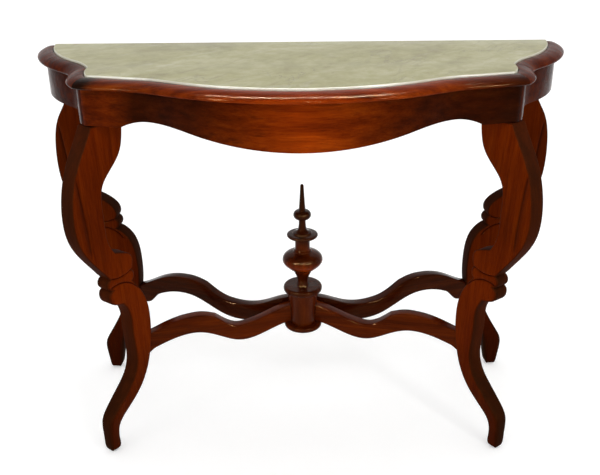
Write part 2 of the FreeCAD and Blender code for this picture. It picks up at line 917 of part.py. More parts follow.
def screw(name, begin, way):
    """A countersunk wood screw whose head starts at begin, with the bore it fills."""
    way = Vector(way).normalize()
    radius = size("screw_radius")
    head = size("screw_head_radius")
    clearance = size("fit_clearance")
    shank, hole = bar_and_bore(name, radius, size("screw_length"), begin, way)
    parts = []
    for label, wider, base in (("head", 0, shank), ("sink", clearance, hole)):
        cone = doc.addObject("Part::Cone", f"{name}_{label}")
        bind(
            cone,
            Radius1=head + wider,
            Radius2=radius + wider,
            Height=size("screw_head_height"),
        )
        cone.Placement = FreeCAD.Placement(begin, Rotation(Z_AXIS, way))
        joined = doc.addObject("Part::Fuse", f"{name}_{label}ed")
        joined.Base = base
        joined.Tool = cone
        parts.append(joined)
    return tuple(parts)


def block_screws():
    """Screws that draw the corner blocks to the aprons and the back rail."""
    pairs = []
    middle = (apron_top + apron_bottom) / 2
    rail_front = back_rail_range()[0]
    for side, sign in SIDES.items():
        front_face = Vector(
            sign * (size("front_block_start") + 16), back - size("front_block_setback"), middle
        )
        pairs.append(screw(f"front_block_screw_{side}", front_face, Vector(0, -1, 0)))
        side_face = Vector(sign * size("front_block_start"), crown + 158, middle + 22)
        pairs.append(screw(f"side_block_screw_{side}", side_face, Vector(sign, 0, 0)))
        rear_face = Vector(
            sign * (size("rear_block_start") + 18), rail_front - size("rear_block_depth"), middle
        )
        pairs.append(screw(f"rear_block_screw_{side}", rear_face, Vector(0, 1, 0)))
    return pairs


def bearer_screws():
    """Two screws through the back rail into the end of each bearer."""
    pairs = []
    level = apron_top - size("bearer_thickness") / 2
    for side, sign in SIDES.items():
        for step in (-14, 14):
            begin = Vector(sign * size("bearer_centre") + step, back_rail_range()[1], level)
            name = f"bearer_screw_{side}_{'a' if step < 0 else 'b'}"
            pairs.append(screw(name, begin, Vector(0, -1, 0)))
    return pairs


def marble_top(plan):
    return slab("marble_top", plan, (marble_bottom, top))


def build():
    plan, corner = full_plan()
    doc.recompute()
    wedge = mitre_wedge(corner)
    groups = {
        "leg_dowels": leg_dowels(),
        "stretcher_dowels": rail_dowels(),
        "corner_block_screws": block_screws(),
        "bearer_screws": bearer_screws(),
    }
    bores = together("bores", [bore for pairs in groups.values() for _, bore in pairs])
    fasteners = [together(name, [bar for bar, _ in pairs]) for name, pairs in groups.items()]
    inner = offset_plan("apron_inner", plan, -size("apron_ledge"))
    pieces = [marble_top(plan)]
    rim_inner = offset_plan("rim_inner", plan, size("marble_gap"))
    pieces += label_all(rim(plan, rim_inner, wedge))
    for name, strip in aprons(plan, inner, wedge).items():
        pieces.append(cut(name, strip, bores))
    pieces += frame_pieces(inner, bores)
    reach = size("back_half_width") + 200
    standing = box("standing_room", (-reach, reach), (-back - 200, back), (top * 0, apron_bottom))
    for row in LEG_OUTLINES:
        for side in SIDES:
            pieces.append(leg(row, side, standing, bores))
    barrel = hub_barrel()
    for side in SIDES:
        front_rail = rail("front", side, barrel, bores)
        neighbour = doc.getObject(f"stretcher_front_{side}_plank")
        pieces += [front_rail, rail("rear", side, barrel, bores, neighbour)]
    pieces.append(cut("hub", barrel, bores))
    return pieces + [hub_cap(), hub_base_ring(), finial()] + fasteners


def label_all(named):
    for name, piece in named.items():
        piece.Label = name
    return list(named.values())


def export(pieces):
    doc.recompute()
    for item in doc.Objects:
        if {"Invalid", "Error"} & set(item.State):
            raise SystemExit(f"{item.Name} did not build: {item.State}")
    for piece in pieces:
        if piece.Shape.isNull() or not piece.Shape.isValid():
            raise SystemExit(f"{piece.Label} has no valid shape")
    for piece in pieces:
        piece.Shape.exportStep(f"parts/{piece.Label}.step")


export(build())
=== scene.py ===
import math
from contextlib import contextmanager

import bmesh
import bpy
import numpy as np
from mathutils import Matrix, Vector, geometry


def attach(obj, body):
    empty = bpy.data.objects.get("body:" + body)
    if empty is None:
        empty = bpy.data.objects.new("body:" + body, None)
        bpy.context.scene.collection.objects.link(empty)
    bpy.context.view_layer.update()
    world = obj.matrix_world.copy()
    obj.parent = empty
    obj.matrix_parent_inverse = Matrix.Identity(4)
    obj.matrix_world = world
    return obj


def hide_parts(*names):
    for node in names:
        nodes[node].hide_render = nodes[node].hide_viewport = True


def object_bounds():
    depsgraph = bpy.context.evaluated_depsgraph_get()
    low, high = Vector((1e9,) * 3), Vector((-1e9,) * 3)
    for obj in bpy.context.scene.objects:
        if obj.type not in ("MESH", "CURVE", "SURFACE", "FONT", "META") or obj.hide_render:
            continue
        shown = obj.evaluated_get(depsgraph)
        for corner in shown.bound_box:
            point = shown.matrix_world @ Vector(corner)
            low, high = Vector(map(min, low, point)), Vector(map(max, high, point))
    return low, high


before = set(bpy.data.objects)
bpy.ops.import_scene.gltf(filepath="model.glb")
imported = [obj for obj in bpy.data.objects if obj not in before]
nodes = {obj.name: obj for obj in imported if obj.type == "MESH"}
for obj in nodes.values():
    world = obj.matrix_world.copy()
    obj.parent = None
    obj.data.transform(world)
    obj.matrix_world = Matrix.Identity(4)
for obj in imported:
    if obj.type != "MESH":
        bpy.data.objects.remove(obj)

cad_box = [list(corner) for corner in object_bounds()]


# Marble slab: one loose sheet of cream marble, sawn to a serpentine outline, polished on its
# face with a narrow eased edge, and held in the rim by its own weight alone.

MM = 0.001
WALL_Y, SLAB_TOP = cad_box[1][1:]
SLAB_EASING = 3.6 * MM
MARBLE_SHADES = [
    (0.36, (0.255, 0.228, 0.095)),
    (0.50, (0.345, 0.322, 0.145)),
    (0.64, (0.440, 0.420, 0.240)),
]
MARBLE_STREAK = (0.235, 0.195, 0.09, 1)
MARBLE_MILK = (0.50, 0.48, 0.34, 1)
MARBLE_CRACK = (0.15, 0.12, 0.075, 1)
# A pale colour for the painted highlight along the slab's eased edge.
MARBLE_EDGE_HIGHLIGHT = (0.70, 0.68, 0.57, 1)


class Value:
    """A socket that takes part in sums: each operator adds the Math node it stands for."""

    def __init__(self, tree, socket):
        self.tree = tree
        self.socket = socket

    def __add__(self, other):
        return self.tree.math("ADD", self, other)

    def __sub__(self, other):
        return self.tree.math("SUBTRACT", self, other)

    def __rsub__(self, other):
        return self.tree.math("SUBTRACT", other, self)

    def __mul__(self, other):
        return self.tree.math("MULTIPLY", self, other)

    def __truediv__(self, other):
        return self.tree.math("DIVIDE", self, other)

    def __abs__(self):
        return self.tree.math("ABSOLUTE", self)

    __radd__ = __add__
    __rmul__ = __mul__


class Tree:
    """A node tree under construction."""

    def __init__(self, node_tree):
        self.nodes = node_tree.nodes
        self.links = node_tree.links
        self.nodes.clear()

    def join(self, slot, given):
        if isinstance(given, Value):
            self.links.new(given.socket, slot)
        else:
            slot.default_value = given

    def add(self, kind, settings=None, result=0, **sockets):
        """One node: its settings come first, then a value or a link for each socket.

        A socket is called by its name with _ for a space, or i and its number.
        """
        node = self.nodes.new(kind)
        for name, given in (settings or {}).items():
            if name == "stops":
                self.set_stops(node.color_ramp, given)
            else:
                setattr(node, name, given)
        for name, given in sockets.items():
            key = int(name[1:]) if name[1:].isdigit() else name.replace("_", " ")
            self.join(node.inputs[key], given)
        return Value(self, node.outputs[result]) if node.outputs else None

    def math(self, operation, *given):
        sockets = {f"i{n}": value for n, value in enumerate(given)}
        return self.add("ShaderNodeMath", {"operation": operation}, **sockets)

    def part(self, vector, axis):
        """One coordinate of a vector, named by its letter."""
        return self.add("ShaderNodeSeparateXYZ", result=axis, Vector=vector)

    def set_stops(self, ramp, stops):
        while len(ramp.elements) < len(stops):
            ramp.elements.new(1.0)
        for element, (position, shade) in zip(ramp.elements, stops):
            element.position = position
            element.color = (*shade, 1) if isinstance(shade, tuple) else (shade, shade, shade, 1)


class Finish(Tree):
    """A surface finish: a material with one Principled shader, patterned in object space."""

    def __init__(self, name):
        self.material = bpy.data.materials.new(name)
        self.material.use_nodes = True
        super().__init__(self.material.node_tree)
        self.shader = self.add("ShaderNodeBsdfPrincipled")
        self.add("ShaderNodeOutputMaterial", Surface=self.shader)
        self.place = self.add("ShaderNodeTexCoord", result="Object")

    def laid(self, turn=(0, 0, 0), finer=(1, 1, 1), shift=(0, 0, 0)):
        """Object coordinates, turned in degrees and then made finer along each axis."""
        return self.add(
            "ShaderNodeMapping",
            {"vector_type": "TEXTURE"},
            Vector=self.place,
            Location=shift,
            Rotation=tuple(math.radians(angle) for angle in turn),
            Scale=tuple(1 / times for times in finer),
        )

    def cloud(self, where, size, detail=3.0, roughness=0.5, distortion=0.0):
        """Noise from 0 to 1 whose lumps measure about the given size in metres."""
        return self.add(
            "ShaderNodeTexNoise",
            Vector=where,
            Scale=1 / size,
            Detail=detail,
            Roughness=roughness,
            Distortion=distortion,
        )

    def rise(self, value, low, high):
        """Goes from 0 at the low value to 1 at the high one, with soft ends."""
        settings = {"interpolation_type": "SMOOTHSTEP"}
        return self.add("ShaderNodeMapRange", settings, i0=value, i1=low, i2=high)

    def shades(self, value, stops):
        return self.add("ShaderNodeValToRGB", {"stops": stops}, i0=value)

    def blend(self, share, first, second, way="MIX"):
        settings = {"data_type": "RGBA", "blend_type": way}
        return self.add("ShaderNodeMix", settings, 2, i0=share, i6=first, i7=second)

    def relief(self, height, depth, under=None):
        """A bump of a depth in metres, over another one if given."""
        links = {"Normal": under} if under else {}
        return self.add("ShaderNodeBump", Strength=1.0, Distance=depth, Height=height, **links)

    def set(self, **sockets):
        for name, given in sockets.items():
            self.join(self.shader.socket.node.inputs[name.replace("_", " ")], given)
        return self.material


def polished_marble():
    finish = Finish("polished_cream_marble")
    drifting = finish.laid((0, 0, 40), (1, 1.7, 1))
    swirl = finish.cloud(drifting, 0.20, 5.0, 0.6, 0.7)
    mottle = finish.cloud(finish.laid(shift=(9, 2, 4)), 0.03, 6.0, 0.7, 0.4)
    stone = finish.shades(swirl * 0.6 + mottle * 0.4, MARBLE_SHADES)
    streak = finish.cloud(finish.laid((0, 0, 50), (1, 3, 1), (3, 1, 0)), 0.13, 8.0, 0.7, 1.8)
    stone = finish.blend(finish.rise(streak, 0.53, 0.7) * 0.6, stone, MARBLE_STREAK)
    milky = finish.cloud(finish.laid((0, 0, 40), (1, 3, 1), (7, 5, 0)), 0.12, 5.0, 0.65, 0.8)
    stone = finish.blend(finish.rise(milky, 0.54, 0.72) * 0.4, stone, MARBLE_MILK)
    wander = finish.cloud(finish.laid((0, 0, 62), (1, 3, 1), (5, 7, 0)), 0.28, 8.0, 0.58, 0.6)
    crack = 1 - finish.rise(abs(wander - 0.5), 0.0, 0.007)
    patch = finish.rise(finish.cloud(finish.laid(shift=(2, 6, 1)), 0.22), 0.48, 0.62)
    stone = finish.blend(crack * patch * 0.6, stone, MARBLE_CRACK)
    # The eased edge round the slab is painted paler: a painted highlight where the lamps catch it.
    eased = finish.rise(finish.part(finish.place, "Z"), SLAB_TOP - 0.1 * MM, SLAB_TOP - 1.4 * MM)
    stone = finish.blend(eased * 0.8, stone, MARBLE_EDGE_HIGHLIGHT)
    wear = finish.cloud(finish.laid(shift=(1, 1, 1)), 0.06, 5.0)
    ripple = finish.cloud(finish.place, 0.09, 2.0)
    return finish.set(
        Base_Color=stone,
        Roughness=0.26 + wear * 0.16,
        Specular_IOR_Level=0.25,
        Normal=finish.relief(ripple - crack * patch * 0.4, 0.0006),
    )


@contextmanager
def on_the_bench(mesh):
    """Opens a mesh for handwork and puts the work back in it at the end."""
    work = bmesh.new()
    work.from_mesh(mesh)
    yield work
    work.to_mesh(mesh)
    work.free()


def merge_facets(work):
    """Joins a solid's loose triangles and takes out the lines across its flat faces."""
    bmesh.ops.remove_doubles(work, verts=work.verts, dist=1e-6)
    limit = math.radians(0.05)
    bmesh.ops.dissolve_limit(work, angle_limit=limit, verts=work.verts, edges=work.edges)


def ease(work, edges, radius, steps):
    """Rounds edges over to a radius."""
    bmesh.ops.bevel(
        work,
        geom=edges,
        offset=radius,
        segments=steps,
        profile=0.5,
        affect="EDGES",
        clamp_overlap=True,
    )


def smooth(mesh, limit=38):
    """Shades faces smoothly, and leaves sharp each edge that turns by the limit or more."""
    with on_the_bench(mesh) as work:
        for face in work.faces:
            face.smooth = True
        for edge in work.edges:
            edge.smooth = len(edge.link_faces) == 2 and edge.calc_face_angle() < math.radians(limit)


def covered(name, points, faces, finish):
    """A mesh of the given faces with a finish on it."""
    mesh = bpy.data.meshes.new(name)
    mesh.from_pydata(points, [], faces)
    mesh.materials.append(finish)
    return mesh


def stand(name, data):
    """Puts a new object in the scene."""
    thing = bpy.data.objects.new(name, data)
    bpy.context.scene.collection.objects.link(thing)
    return thing


def fit(name, mesh, node, body):
    """Puts a finished piece in the place of its node."""
    mesh.name = name
    piece = stand(name, mesh)
    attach(piece, body)
    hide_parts(node)


def planed(node, finish, easing, steps=3, corner=None):
    """A solid's own surface, its facets merged and its sharp edges eased with a plane.

    A corner, given as a least y, a greatest z and a radius, is worked round first.
    """
    mesh = nodes[node].data.copy()
    mesh.materials.clear()
    mesh.materials.append(finish)
    with on_the_bench(mesh) as work:
        merge_facets(work)
        if corner:
            back, low, radius = corner
            ends = [
                edge
                for edge in work.edges
                if all(vert.co.y > back and vert.co.z < low for vert in edge.verts)
            ]
            ease(work, ends, radius, 7)
        inner_edges = [edge for edge in work.edges if len(edge.link_faces) == 2]
        sharp = [edge for edge in inner_edges if edge.calc_face_angle() > math.radians(34)]
        ease(work, sharp, easing, steps)
    smooth(mesh)
    return mesh


slab = planed("marble_top", polished_marble(), SLAB_EASING, 4)
fit("marble_slab", slab, "marble_top", "slab")


# Rim: a half-round moulding of rosewood worked to the slab's outline, mitred at both front
# corners and glued on the aprons, french polished to a high gloss.

ROSEWOOD_SHADES = [
    (0.30, (0.036, 0.0038, 0.0003)),
    (0.42, (0.088, 0.0092, 0.0004)),
    (0.54, (0.142, 0.0172, 0.0006)),
    (0.72, (0.235, 0.0370, 0.0016)),
]
ROSEWOOD_VEIN = (0.012, 0.0024, 0.0008, 1)
ROSEWOOD_PORE = (0.014, 0.0030, 0.0010, 1)
ROSEWOOD_EDGE_SHADE = (0.012, 0.0038, 0.0010, 1)
ROSEWOOD_HOLLOW_SHADE = (0.009, 0.0022, 0.0008, 1)
POLISH_TINT = (1.0, 0.55, 0.25, 1)
TONE_REACH = {"X": (-0.6, 0.6), "Z": (0.0, 0.85)}


def rosewood(name, turn, seed, tones, along, figure, gloss):
    """French-polished rosewood with its grain along the turned x axis.

    The tones make the wood lighter or darker from end to end of the table along x or z: partly the
    stain, partly painted light and shade, as told where each piece's tones are given.
    The figure is how strongly the grain shows.
    """
    finish = Finish(name)
    shift = (seed, seed * 0.7, seed * 0.3)
    drift = finish.cloud(finish.laid(turn, (1, 5, 5), shift), 0.34, 3.0, 0.5, 0.6)
    drawn_out = finish.laid(turn, (1, 26, 26), shift)
    bands = finish.cloud(drawn_out, 0.4, 4.0, 0.6, 0.2)
    fibre = finish.cloud(drawn_out, 0.05, 4.0, 0.75)
    pores = finish.cloud(finish.laid(turn, (1, 14, 14), shift), 0.014, 1.0, 0.5)
    figured = (drift - 0.5) * (0.5 * figure) + (bands - 0.5) * (0.8 * figure)
    wood = finish.shades(0.5 + figured + (fibre - 0.5) * 0.3, ROSEWOOD_SHADES)
    low, high = TONE_REACH[along]
    wobble = (finish.cloud(finish.laid(turn, (1, 4, 4), shift), 0.2, 3.0, 0.6) - 0.5) * 0.06
    share = (finish.part(finish.place, along) - low) / (high - low) + wobble
    # The tones go in here: partly the stain, partly painted light and shade.
    wood = finish.blend(1.0, wood, finish.shades(share, tones), "MULTIPLY")
    streak = finish.cloud(finish.laid(turn, (1, 45, 45), (seed + 4, seed, 2)), 0.5, 4.0, 0.55, 0.2)
    vein = finish.rise(streak, 0.54, 0.70) * (0.6 * figure)
    wood = finish.blend(vein, wood, ROSEWOOD_VEIN)
    pore = finish.rise(pores, 0.64, 0.76)
    wood = finish.blend(pore * 0.4, wood, ROSEWOOD_PORE)
    edge = finish.add("ShaderNodeAttribute", {"attribute_name": "sawn_edge"}, "Fac")
    hollow = finish.add("ShaderNodeAttribute", {"attribute_name": "carved"}, "Fac")
    # The sawn edges are painted darker: painted shade on the edge faces that turn away from the
    # light.
    wood = finish.blend(edge * (0.95 - drift * 0.35), wood, ROSEWOOD_EDGE_SHADE)
    # The carved hollows are painted darker: painted shade in the recesses of the neck's bead and
    # the hollow.
    wood = finish.blend(finish.rise(hollow, 0.15, 1.0) * 0.7, wood, ROSEWOOD_HOLLOW_SHADE)
    handled = finish.cloud(finish.laid(shift=(seed, 3, 1)), 0.07, 4.0, 0.6)
    brushed = finish.cloud(finish.laid(turn, (1, 2.5, 2.5), shift), 0.06, 2.0, 0.4)
    return finish.set(
        Base_Color=wood,
        Roughness=0.04 + handled * 0.08 + pore * 0.12 + edge * 0.6,
        Specular_IOR_Level=gloss,
        Specular_Tint=POLISH_TINT,
        Normal=finish.relief(brushed, 0.0012, finish.relief(fibre - pore * 0.6, 0.00016)),
    )


def chains(node, level):
    """The inner and outer line of a moulding's flat top, each from one mitre to the other."""
    work = bmesh.new()
    work.from_mesh(nodes[node].data)
    merge_facets(work)
    high = [face for face in work.faces if face.calc_center_median().z > level]
    top = max((face for face in high if face.normal.z > 0.99), key=lambda face: face.calc_area())
    loop = np.array([vert.co[:2] for vert in top.verts])
    work.free()
    ahead = np.roll(loop, -1, axis=0) - loop
    heading = np.arctan2(ahead[:, 1], ahead[:, 0])
    turn = np.abs((heading - np.roll(heading, 1) + math.pi) % (2 * math.pi) - math.pi)
    first, *others = sorted(np.argsort(turn)[-4:])
    loop = np.roll(loop, -first, axis=0)
    loop = np.vstack([loop, loop[:1]])
    corners = [0, *(corner - first for corner in others), len(loop) - 1]
    runs = [loop[begin : end + 1] for begin, end in zip(corners, corners[1:])]
    runs.sort(key=lambda run: np.linalg.norm(np.diff(run, axis=0), axis=1).sum())
    inner, outer = sorted(
        runs[-2:], key=lambda run: np.linalg.norm(run - (0, WALL_Y), axis=1).mean()
    )
    if np.linalg.norm(inner[0] - outer[0]) > np.linalg.norm(inner[-1] - outer[0]):
        outer = outer[::-1]
    return inner, outer


def spaced(line, step):
    """The same line with a point at every step of its length and at its ends."""
    along = np.concatenate([[0], np.cumsum(np.linalg.norm(np.diff(line, axis=0), axis=1))])
    marks = np.linspace(0, along[-1], max(3, int(along[-1] / step)))
    return np.column_stack([np.interp(marks, along, line[:, axis]) for axis in (0, 1)])


RIM_STEP = 2.5 * MM
END_TUCK = 5 * MM
# The solid's flat top is 28 mm wide, and the moulding reaches 36 mm out from the slab.
MOULDING_REACH = 36
MOULDING_FLAT = 28
# How far out each point of the section lies, as a share of the reach, and its level in mm.
MOULDING = [
    (0.000, 828), (0.000, 844.4), (0.012, 845.6), (0.045, 846), (0.25, 845.9), (0.42, 845.3),
    (0.58, 844.1), (0.71, 842.4), (0.82, 840.2), (0.905, 837.6), (0.965, 834.8), (0.985, 832.9),
    (0.975, 831.1), (0.945, 829.5), (0.895, 828.5), (0.83, 828),
]


def moulded(node, finish):
    """A moulding run along the line of the rim, domed above and rounded at its nose."""
    inner, outer = chains(node, SLAB_TOP - 10 * MM)
    if inner[0][1] > 0:
        inner, outer = inner[::-1], outer[::-1]
    if inner[-1][1] > 0:
        tucked_x = outer[-1][0] - math.copysign(END_TUCK, outer[-1][0])
        inner = np.vstack([inner, (inner[-1][0], WALL_Y)])
        outer = np.vstack([outer, (tucked_x, WALL_Y)])
    inner, outer = spaced(inner, RIM_STEP), spaced(outer, RIM_STEP / 5)
    span = np.linalg.norm(inner[:, None, :] - outer[None, :, :], axis=2)
    match = outer[np.argmin(span, axis=1)]
    match[0], match[-1] = outer[0], outer[-1]
    reach = (match - inner) * (MOULDING_REACH / MOULDING_FLAT)
    for _ in range(16):
        reach[1:-1] = (reach[:-2] + reach[1:-1] * 2 + reach[2:]) / 4
    points, faces = [], []
    for share, level in MOULDING:
        plan = inner + reach * share
        points.extend([(x, min(y, WALL_Y), level * MM) for x, y in plan])
    rows, count = len(MOULDING), len(inner)
    for row in range(rows):
        here, there = row * count, (row + 1) % rows * count
        faces += [(here + n, here + n + 1, there + n + 1, there + n) for n in range(count - 1)]
    faces.append([row * count for row in range(rows)])
    faces.append([row * count + count - 1 for row in range(rows)])
    mesh = covered(node, points, faces, finish)
    with on_the_bench(mesh) as work:
        bmesh.ops.recalc_face_normals(work, faces=work.faces)
    smooth(mesh, 50)
    return mesh


SIDE_GRAIN = {"front": (0, 0, 0), "left": (0, 0, 62), "right": (0, 0, -62)}
# Painted light: the front rim's bright middle is a painted highlight where it faces the lamps, and
# the side rims are painted darker, the left one most, as painted shade on the sides turned from the
# light.
RIM_TONES = {
    "front": [
        (0.05, 1.0), (0.105, 1.2), (0.125, 0.05), (0.155, 0.05), (0.18, 0.8), (0.3, 1.1),
        (0.5, 2.4), (0.72, 1.3), (0.86, 0.25), (0.94, 0.6),
    ],
    "left": [(0.0, 0.5), (1.0, 0.5)],
    "right": [(0.0, 0.6), (1.0, 0.6)],
}
RIM_GLOSS = {"front": 0.05, "left": 0.012, "right": 0.012}
for side, grain in SIDE_GRAIN.items():
    seed = 3.1 + len(side)
    tones, gloss = RIM_TONES[side], RIM_GLOSS[side]
    wood = rosewood(f"rosewood_rim_{side}", grain, seed, tones, "X", 0.8, gloss)
    moulding = moulded(f"rim_{side}", wood)
    fit(f"moulded_rim_{side}", moulding, f"rim_{side}", "table")


# Aprons: rosewood boards under the rim, bandsawn in plan to follow it and in front view to a
# belly between two arches, mitred at the front corners and held by the blocks behind them.

# Painted light: the front apron's bright middle is a painted glow of light on the belly that faces
# the lamps, and the side aprons are painted darker, the left one most, as painted shade on the
# sides turned away from the light.
APRON_TONES = {
    "front": [
        (0.09, 0.7), (0.18, 0.95), (0.23, 0.24), (0.33, 0.32), (0.40, 0.85), (0.5, 2.0),
        (0.61, 0.85), (0.70, 0.34), (0.85, 0.16),
    ],
    "left": [(0.0, 0.3), (1.0, 0.3)],
    "right": [(0.0, 0.35), (1.0, 0.35)],
}
APRON_GLOSS = {"front": 0.035, "left": 0.01, "right": 0.01}
APRON_FOOT = 752
REAR_CORNER = (WALL_Y - 0.5 * MM, (APRON_FOOT + 0.5) * MM, 14 * MM)
for side, grain in SIDE_GRAIN.items():
    seed = 7.7 + len(side)
    tones, gloss = APRON_TONES[side], APRON_GLOSS[side]
    wood = rosewood(f"rosewood_apron_{side}", grain, seed, tones, "X", 0.7, gloss)
    board = planed(f"apron_{side}", wood, 1.6 * MM, corner=None if side == "front" else REAR_CORNER)
    fit(f"apron_board_{side}", board, f"apron_{side}", "table")


# Legs: each is one plank of rosewood, 40 mm thick, bandsawn to a scroll and carved with a bead
# round its neck and a hollow down its front, thinned to the foot and dowelled into its block.


def bend(poles, count):
    """Points along the smooth line that the poles draw, which a bandsaw can follow."""
    poles = np.array(poles, float)
    knots = np.concatenate([[0.0] * 3, np.linspace(0, 1, len(poles) - 2), [1.0] * 3])
    where = np.linspace(0, 1 - 1e-9, count)[:, None]
    weights = ((knots[:-1] <= where) & (where < knots[1:])).astype(float)
    for degree in (1, 2, 3):
        ends = len(knots) - degree - 1
        before = knots[degree:-1] - knots[:ends]
        after = knots[degree + 1 :] - knots[1 : ends + 1]
        blank = np.zeros((count, ends))
        rising = np.divide(where - knots[:ends], before, out=blank.copy(), where=before > 0)
        falling = np.divide(knots[degree + 1 :] - where, after, out=blank, where=after > 0)
        weights = rising * weights[:, :-1] + falling * weights[:, 1:]
    return weights @ poles


def nose(begin, end, radius, count):
    """Points on an arc from begin to end that bulges to the left of its way."""
    begin, end = np.array(begin, float), np.array(end, float)
    chord = end - begin
    half = np.linalg.norm(chord) / 2
    left = np.array([-chord[1], chord[0]]) / (2 * half)
    centre = (begin + end) / 2 - left * math.sqrt(radius**2 - half**2)
    sweep = math.asin(half / radius)
    middle = math.atan2(left[1], left[0])
    angles = np.linspace(middle + sweep, middle - sweep, count)
    return centre + radius * np.column_stack([np.cos(angles), np.sin(angles)])


LEG_TOP = APRON_FOOT
SAWN_TOP = LEG_TOP + 2
PLANK = 40.0
SOLE = 28.0
SOLE_EASING = (7, 9)
# Each neck's bead stands between two arcs: their radius, the height of their middle over the
# neck and the side of it on which they lie.
NECK_ARCS = ((70, 77.3, -1), (60, -67, 1))
NECK_REACH = 34
LIP_CUT = 4.2
LIP_WIDTH = 3.6
BEAD_RISE = 3.2
BEAD_SHOULDER = 7
HOLLOW_CUT = 3.6
HOLLOW_WIDTH = 30
HOLLOW_LIP = 6.5
# A leg is drawn flat in mm: how far out from the foot's own upright, and how high. The groove is
# how far out the hollow's line starts and ends, and then its lowest and its highest level.
LEGS = {
    "front": {
        "foot": (436, -150),
        "turn": -52,
        "rake": -4,
        "shoulder": [(-10, 765), (9, 722), (53, 668), (69, 510), (14, 460), (-18, 418)],
        "knob": [(-20, 391), (-10, 387), (-10, 361), (-28, 353), (-48, 351)],
        "calf": [
            (-48, 351), (-69, 323), (-61, 285), (-81, 187), (-40, 137), (12, 92), (20, 72),
            (19, 42), (18, 17), (14, 0), (7, 0), (3, 0), (-1, 0), (-7, 0), (-11, 13),
        ],
        "shin": [
            (-11, 13), (-9, 40), (-6, 66), (-49, 98), (-113, 169), (-127, 318), (-106, 363),
            (-78, 397),
        ],
        "scroll": [
            (-78, 424), (-80, 429), (-81, 438), (-83, 451), (-75, 465), (-58, 469), (-38, 475),
        ],
        "hollow": [
            (-38, 474), (-29, 486), (-17, 508), (-18, 564), (-10, 635), (-86, 682), (-83, 745),
            (-86, 765),
        ],
        "neck": (-42, 408),
        "groove": (22, 46, 470, 676),
    },
    "rear": {
        "foot": (505, 194),
        "turn": 7,
        "rake": 0,
        "shoulder": [(28, 765), (42, 710), (78, 695), (82, 490), (37, 479), (10, 430)],
        "knob": [(8, 403), (20, 398), (20, 374), (2, 365), (-22, 364)],
        "calf": [
            (-22, 364), (-41, 338), (-39, 300), (-56, 208), (-27, 148), (3, 100), (15, 78),
            (12, 45), (8, 16), (4, 0), (-4, 0), (-8, 0), (-12, 0), (-18, 0), (-23, 12),
        ],
        "shin": [(-23, 12), (-32, 42), (-32, 106), (-94, 207), (-101, 317), (-89, 393), (-52, 410)],
        "scroll": [(-52, 437), (-66, 464), (-32, 484), (-7, 494)],
        "hollow": [(-7, 494), (4, 518), (4, 565), (21, 644), (-52, 689), (-46, 744), (-54, 765)],
        "neck": (-16, 420),
        "groove": (46, 66, 482, 690),
    },
}


def sawn_outline(leg):
    """The plank's outline from the top down its outer side and up the inner one.

    Each point has the radius, in millimetres, to which its edge is rounded over.
    """
    runs = [
        (bend(leg["shoulder"], 150), 2.6),
        (nose(leg["shoulder"][-1], leg["knob"][0], 14.4, 18), 6.0),
        (bend(leg["knob"], 30), 5.0),
        (bend(leg["calf"], 260), 3.4),
        (bend(leg["shin"], 170), 3.4),
        (nose(leg["shin"][-1], leg["scroll"][0], 16, 16), 6.0),
        (bend(leg["scroll"], 44), 2.6),
        (bend(leg["hollow"], 120), 2.6),
    ]
    points = np.concatenate([run for run, _ in runs])
    rounding = np.concatenate([np.full(len(run), radius) for run, radius in runs])
    rounding += np.interp(points[:, 1], [0, 14, 34, 80, 140], [0.8, 2.6, 5.0, 5.0, 0.0])
    under_rail = points[:, 1] <= SAWN_TOP
    points, rounding = points[under_rail], rounding[under_rail]
    apart = [0]
    for n in range(1, len(points)):
        if np.linalg.norm(points[n] - points[apart[-1]]) > 0.7:
            apart.append(n)
    points, rounding = points[apart], rounding[apart]
    for _ in range(6):
        rounding = (np.roll(rounding, 1) + rounding * 2 + np.roll(rounding, -1)) / 4
    return points, rounding


def inward(points):
    """Mitred normals that point into the wood, for an outline that runs clockwise."""
    ahead = np.roll(points, -1, axis=0) - points
    normal = np.column_stack([ahead[:, 1], -ahead[:, 0]])
    normal /= np.linalg.norm(normal, axis=1)[:, None]
    before = np.roll(normal, 1, axis=0)
    mitre = normal + before
    return mitre / np.maximum(1 + (normal * before).sum(axis=1), 0.45)[:, None]


def hollow_line(leg, share):
    """How far out the hollow's deepest line lies, by the share of its height."""
    low_out, high_out = leg["groove"][:2]
    return low_out + (high_out - low_out) * share**1.6


def carving(leg, points, hollowed):
    """Depth in millimetres of the carving at each point of a broad face."""
    out, level = points.T
    across, up = out - leg["neck"][0], level - leg["neck"][1]
    band = np.min([np.hypot(across, up - rise) - radius for radius, rise, _ in NECK_ARCS], axis=0)
    crown = np.clip(band / BEAD_SHOULDER, 0, 1)
    bead = LIP_CUT - BEAD_RISE * np.sqrt(1 - (1 - crown) ** 2)
    lip = LIP_CUT * np.clip(1 + band / LIP_WIDTH, 0, 1) ** 2
    depth = np.where(abs(up) < NECK_REACH, np.where(band > 0, bead, lip), 0)
    if hollowed:
        low, high = leg["groove"][2:]
        share = np.clip((level - low) / (high - low), 0, 1)
        fade = np.clip(share / 0.14, 0, 1) ** 0.7 * np.clip((1 - share) / 0.16, 0, 1)
        width = HOLLOW_WIDTH * np.sin(np.pi * np.clip(share * 0.86 + 0.12, 0, 1)) + 1
        beyond = out - hollow_line(leg, share)
        slope, lip = np.clip(1 - beyond / width, 0, 1), np.clip(1 - abs(beyond) / HOLLOW_LIP, 0, 1)
        scoop = np.where(beyond > 0, 0.68 * slope + 0.32 * lip**2, lip**1.6)
        depth = np.maximum(depth, HOLLOW_CUT * fade * scoop)
    return depth


def half_thickness(level):
    """Half the plank's thickness at a level, thinner in the shin and drawn in at the sole."""
    drawn_in, up_to = SOLE_EASING
    worn = 1 - np.sqrt(1 - np.clip(1 - level / up_to, 0, 1) ** 2)
    return np.interp(level, [0, 120], [SOLE / 2, PLANK / 2]) - drawn_in * worn


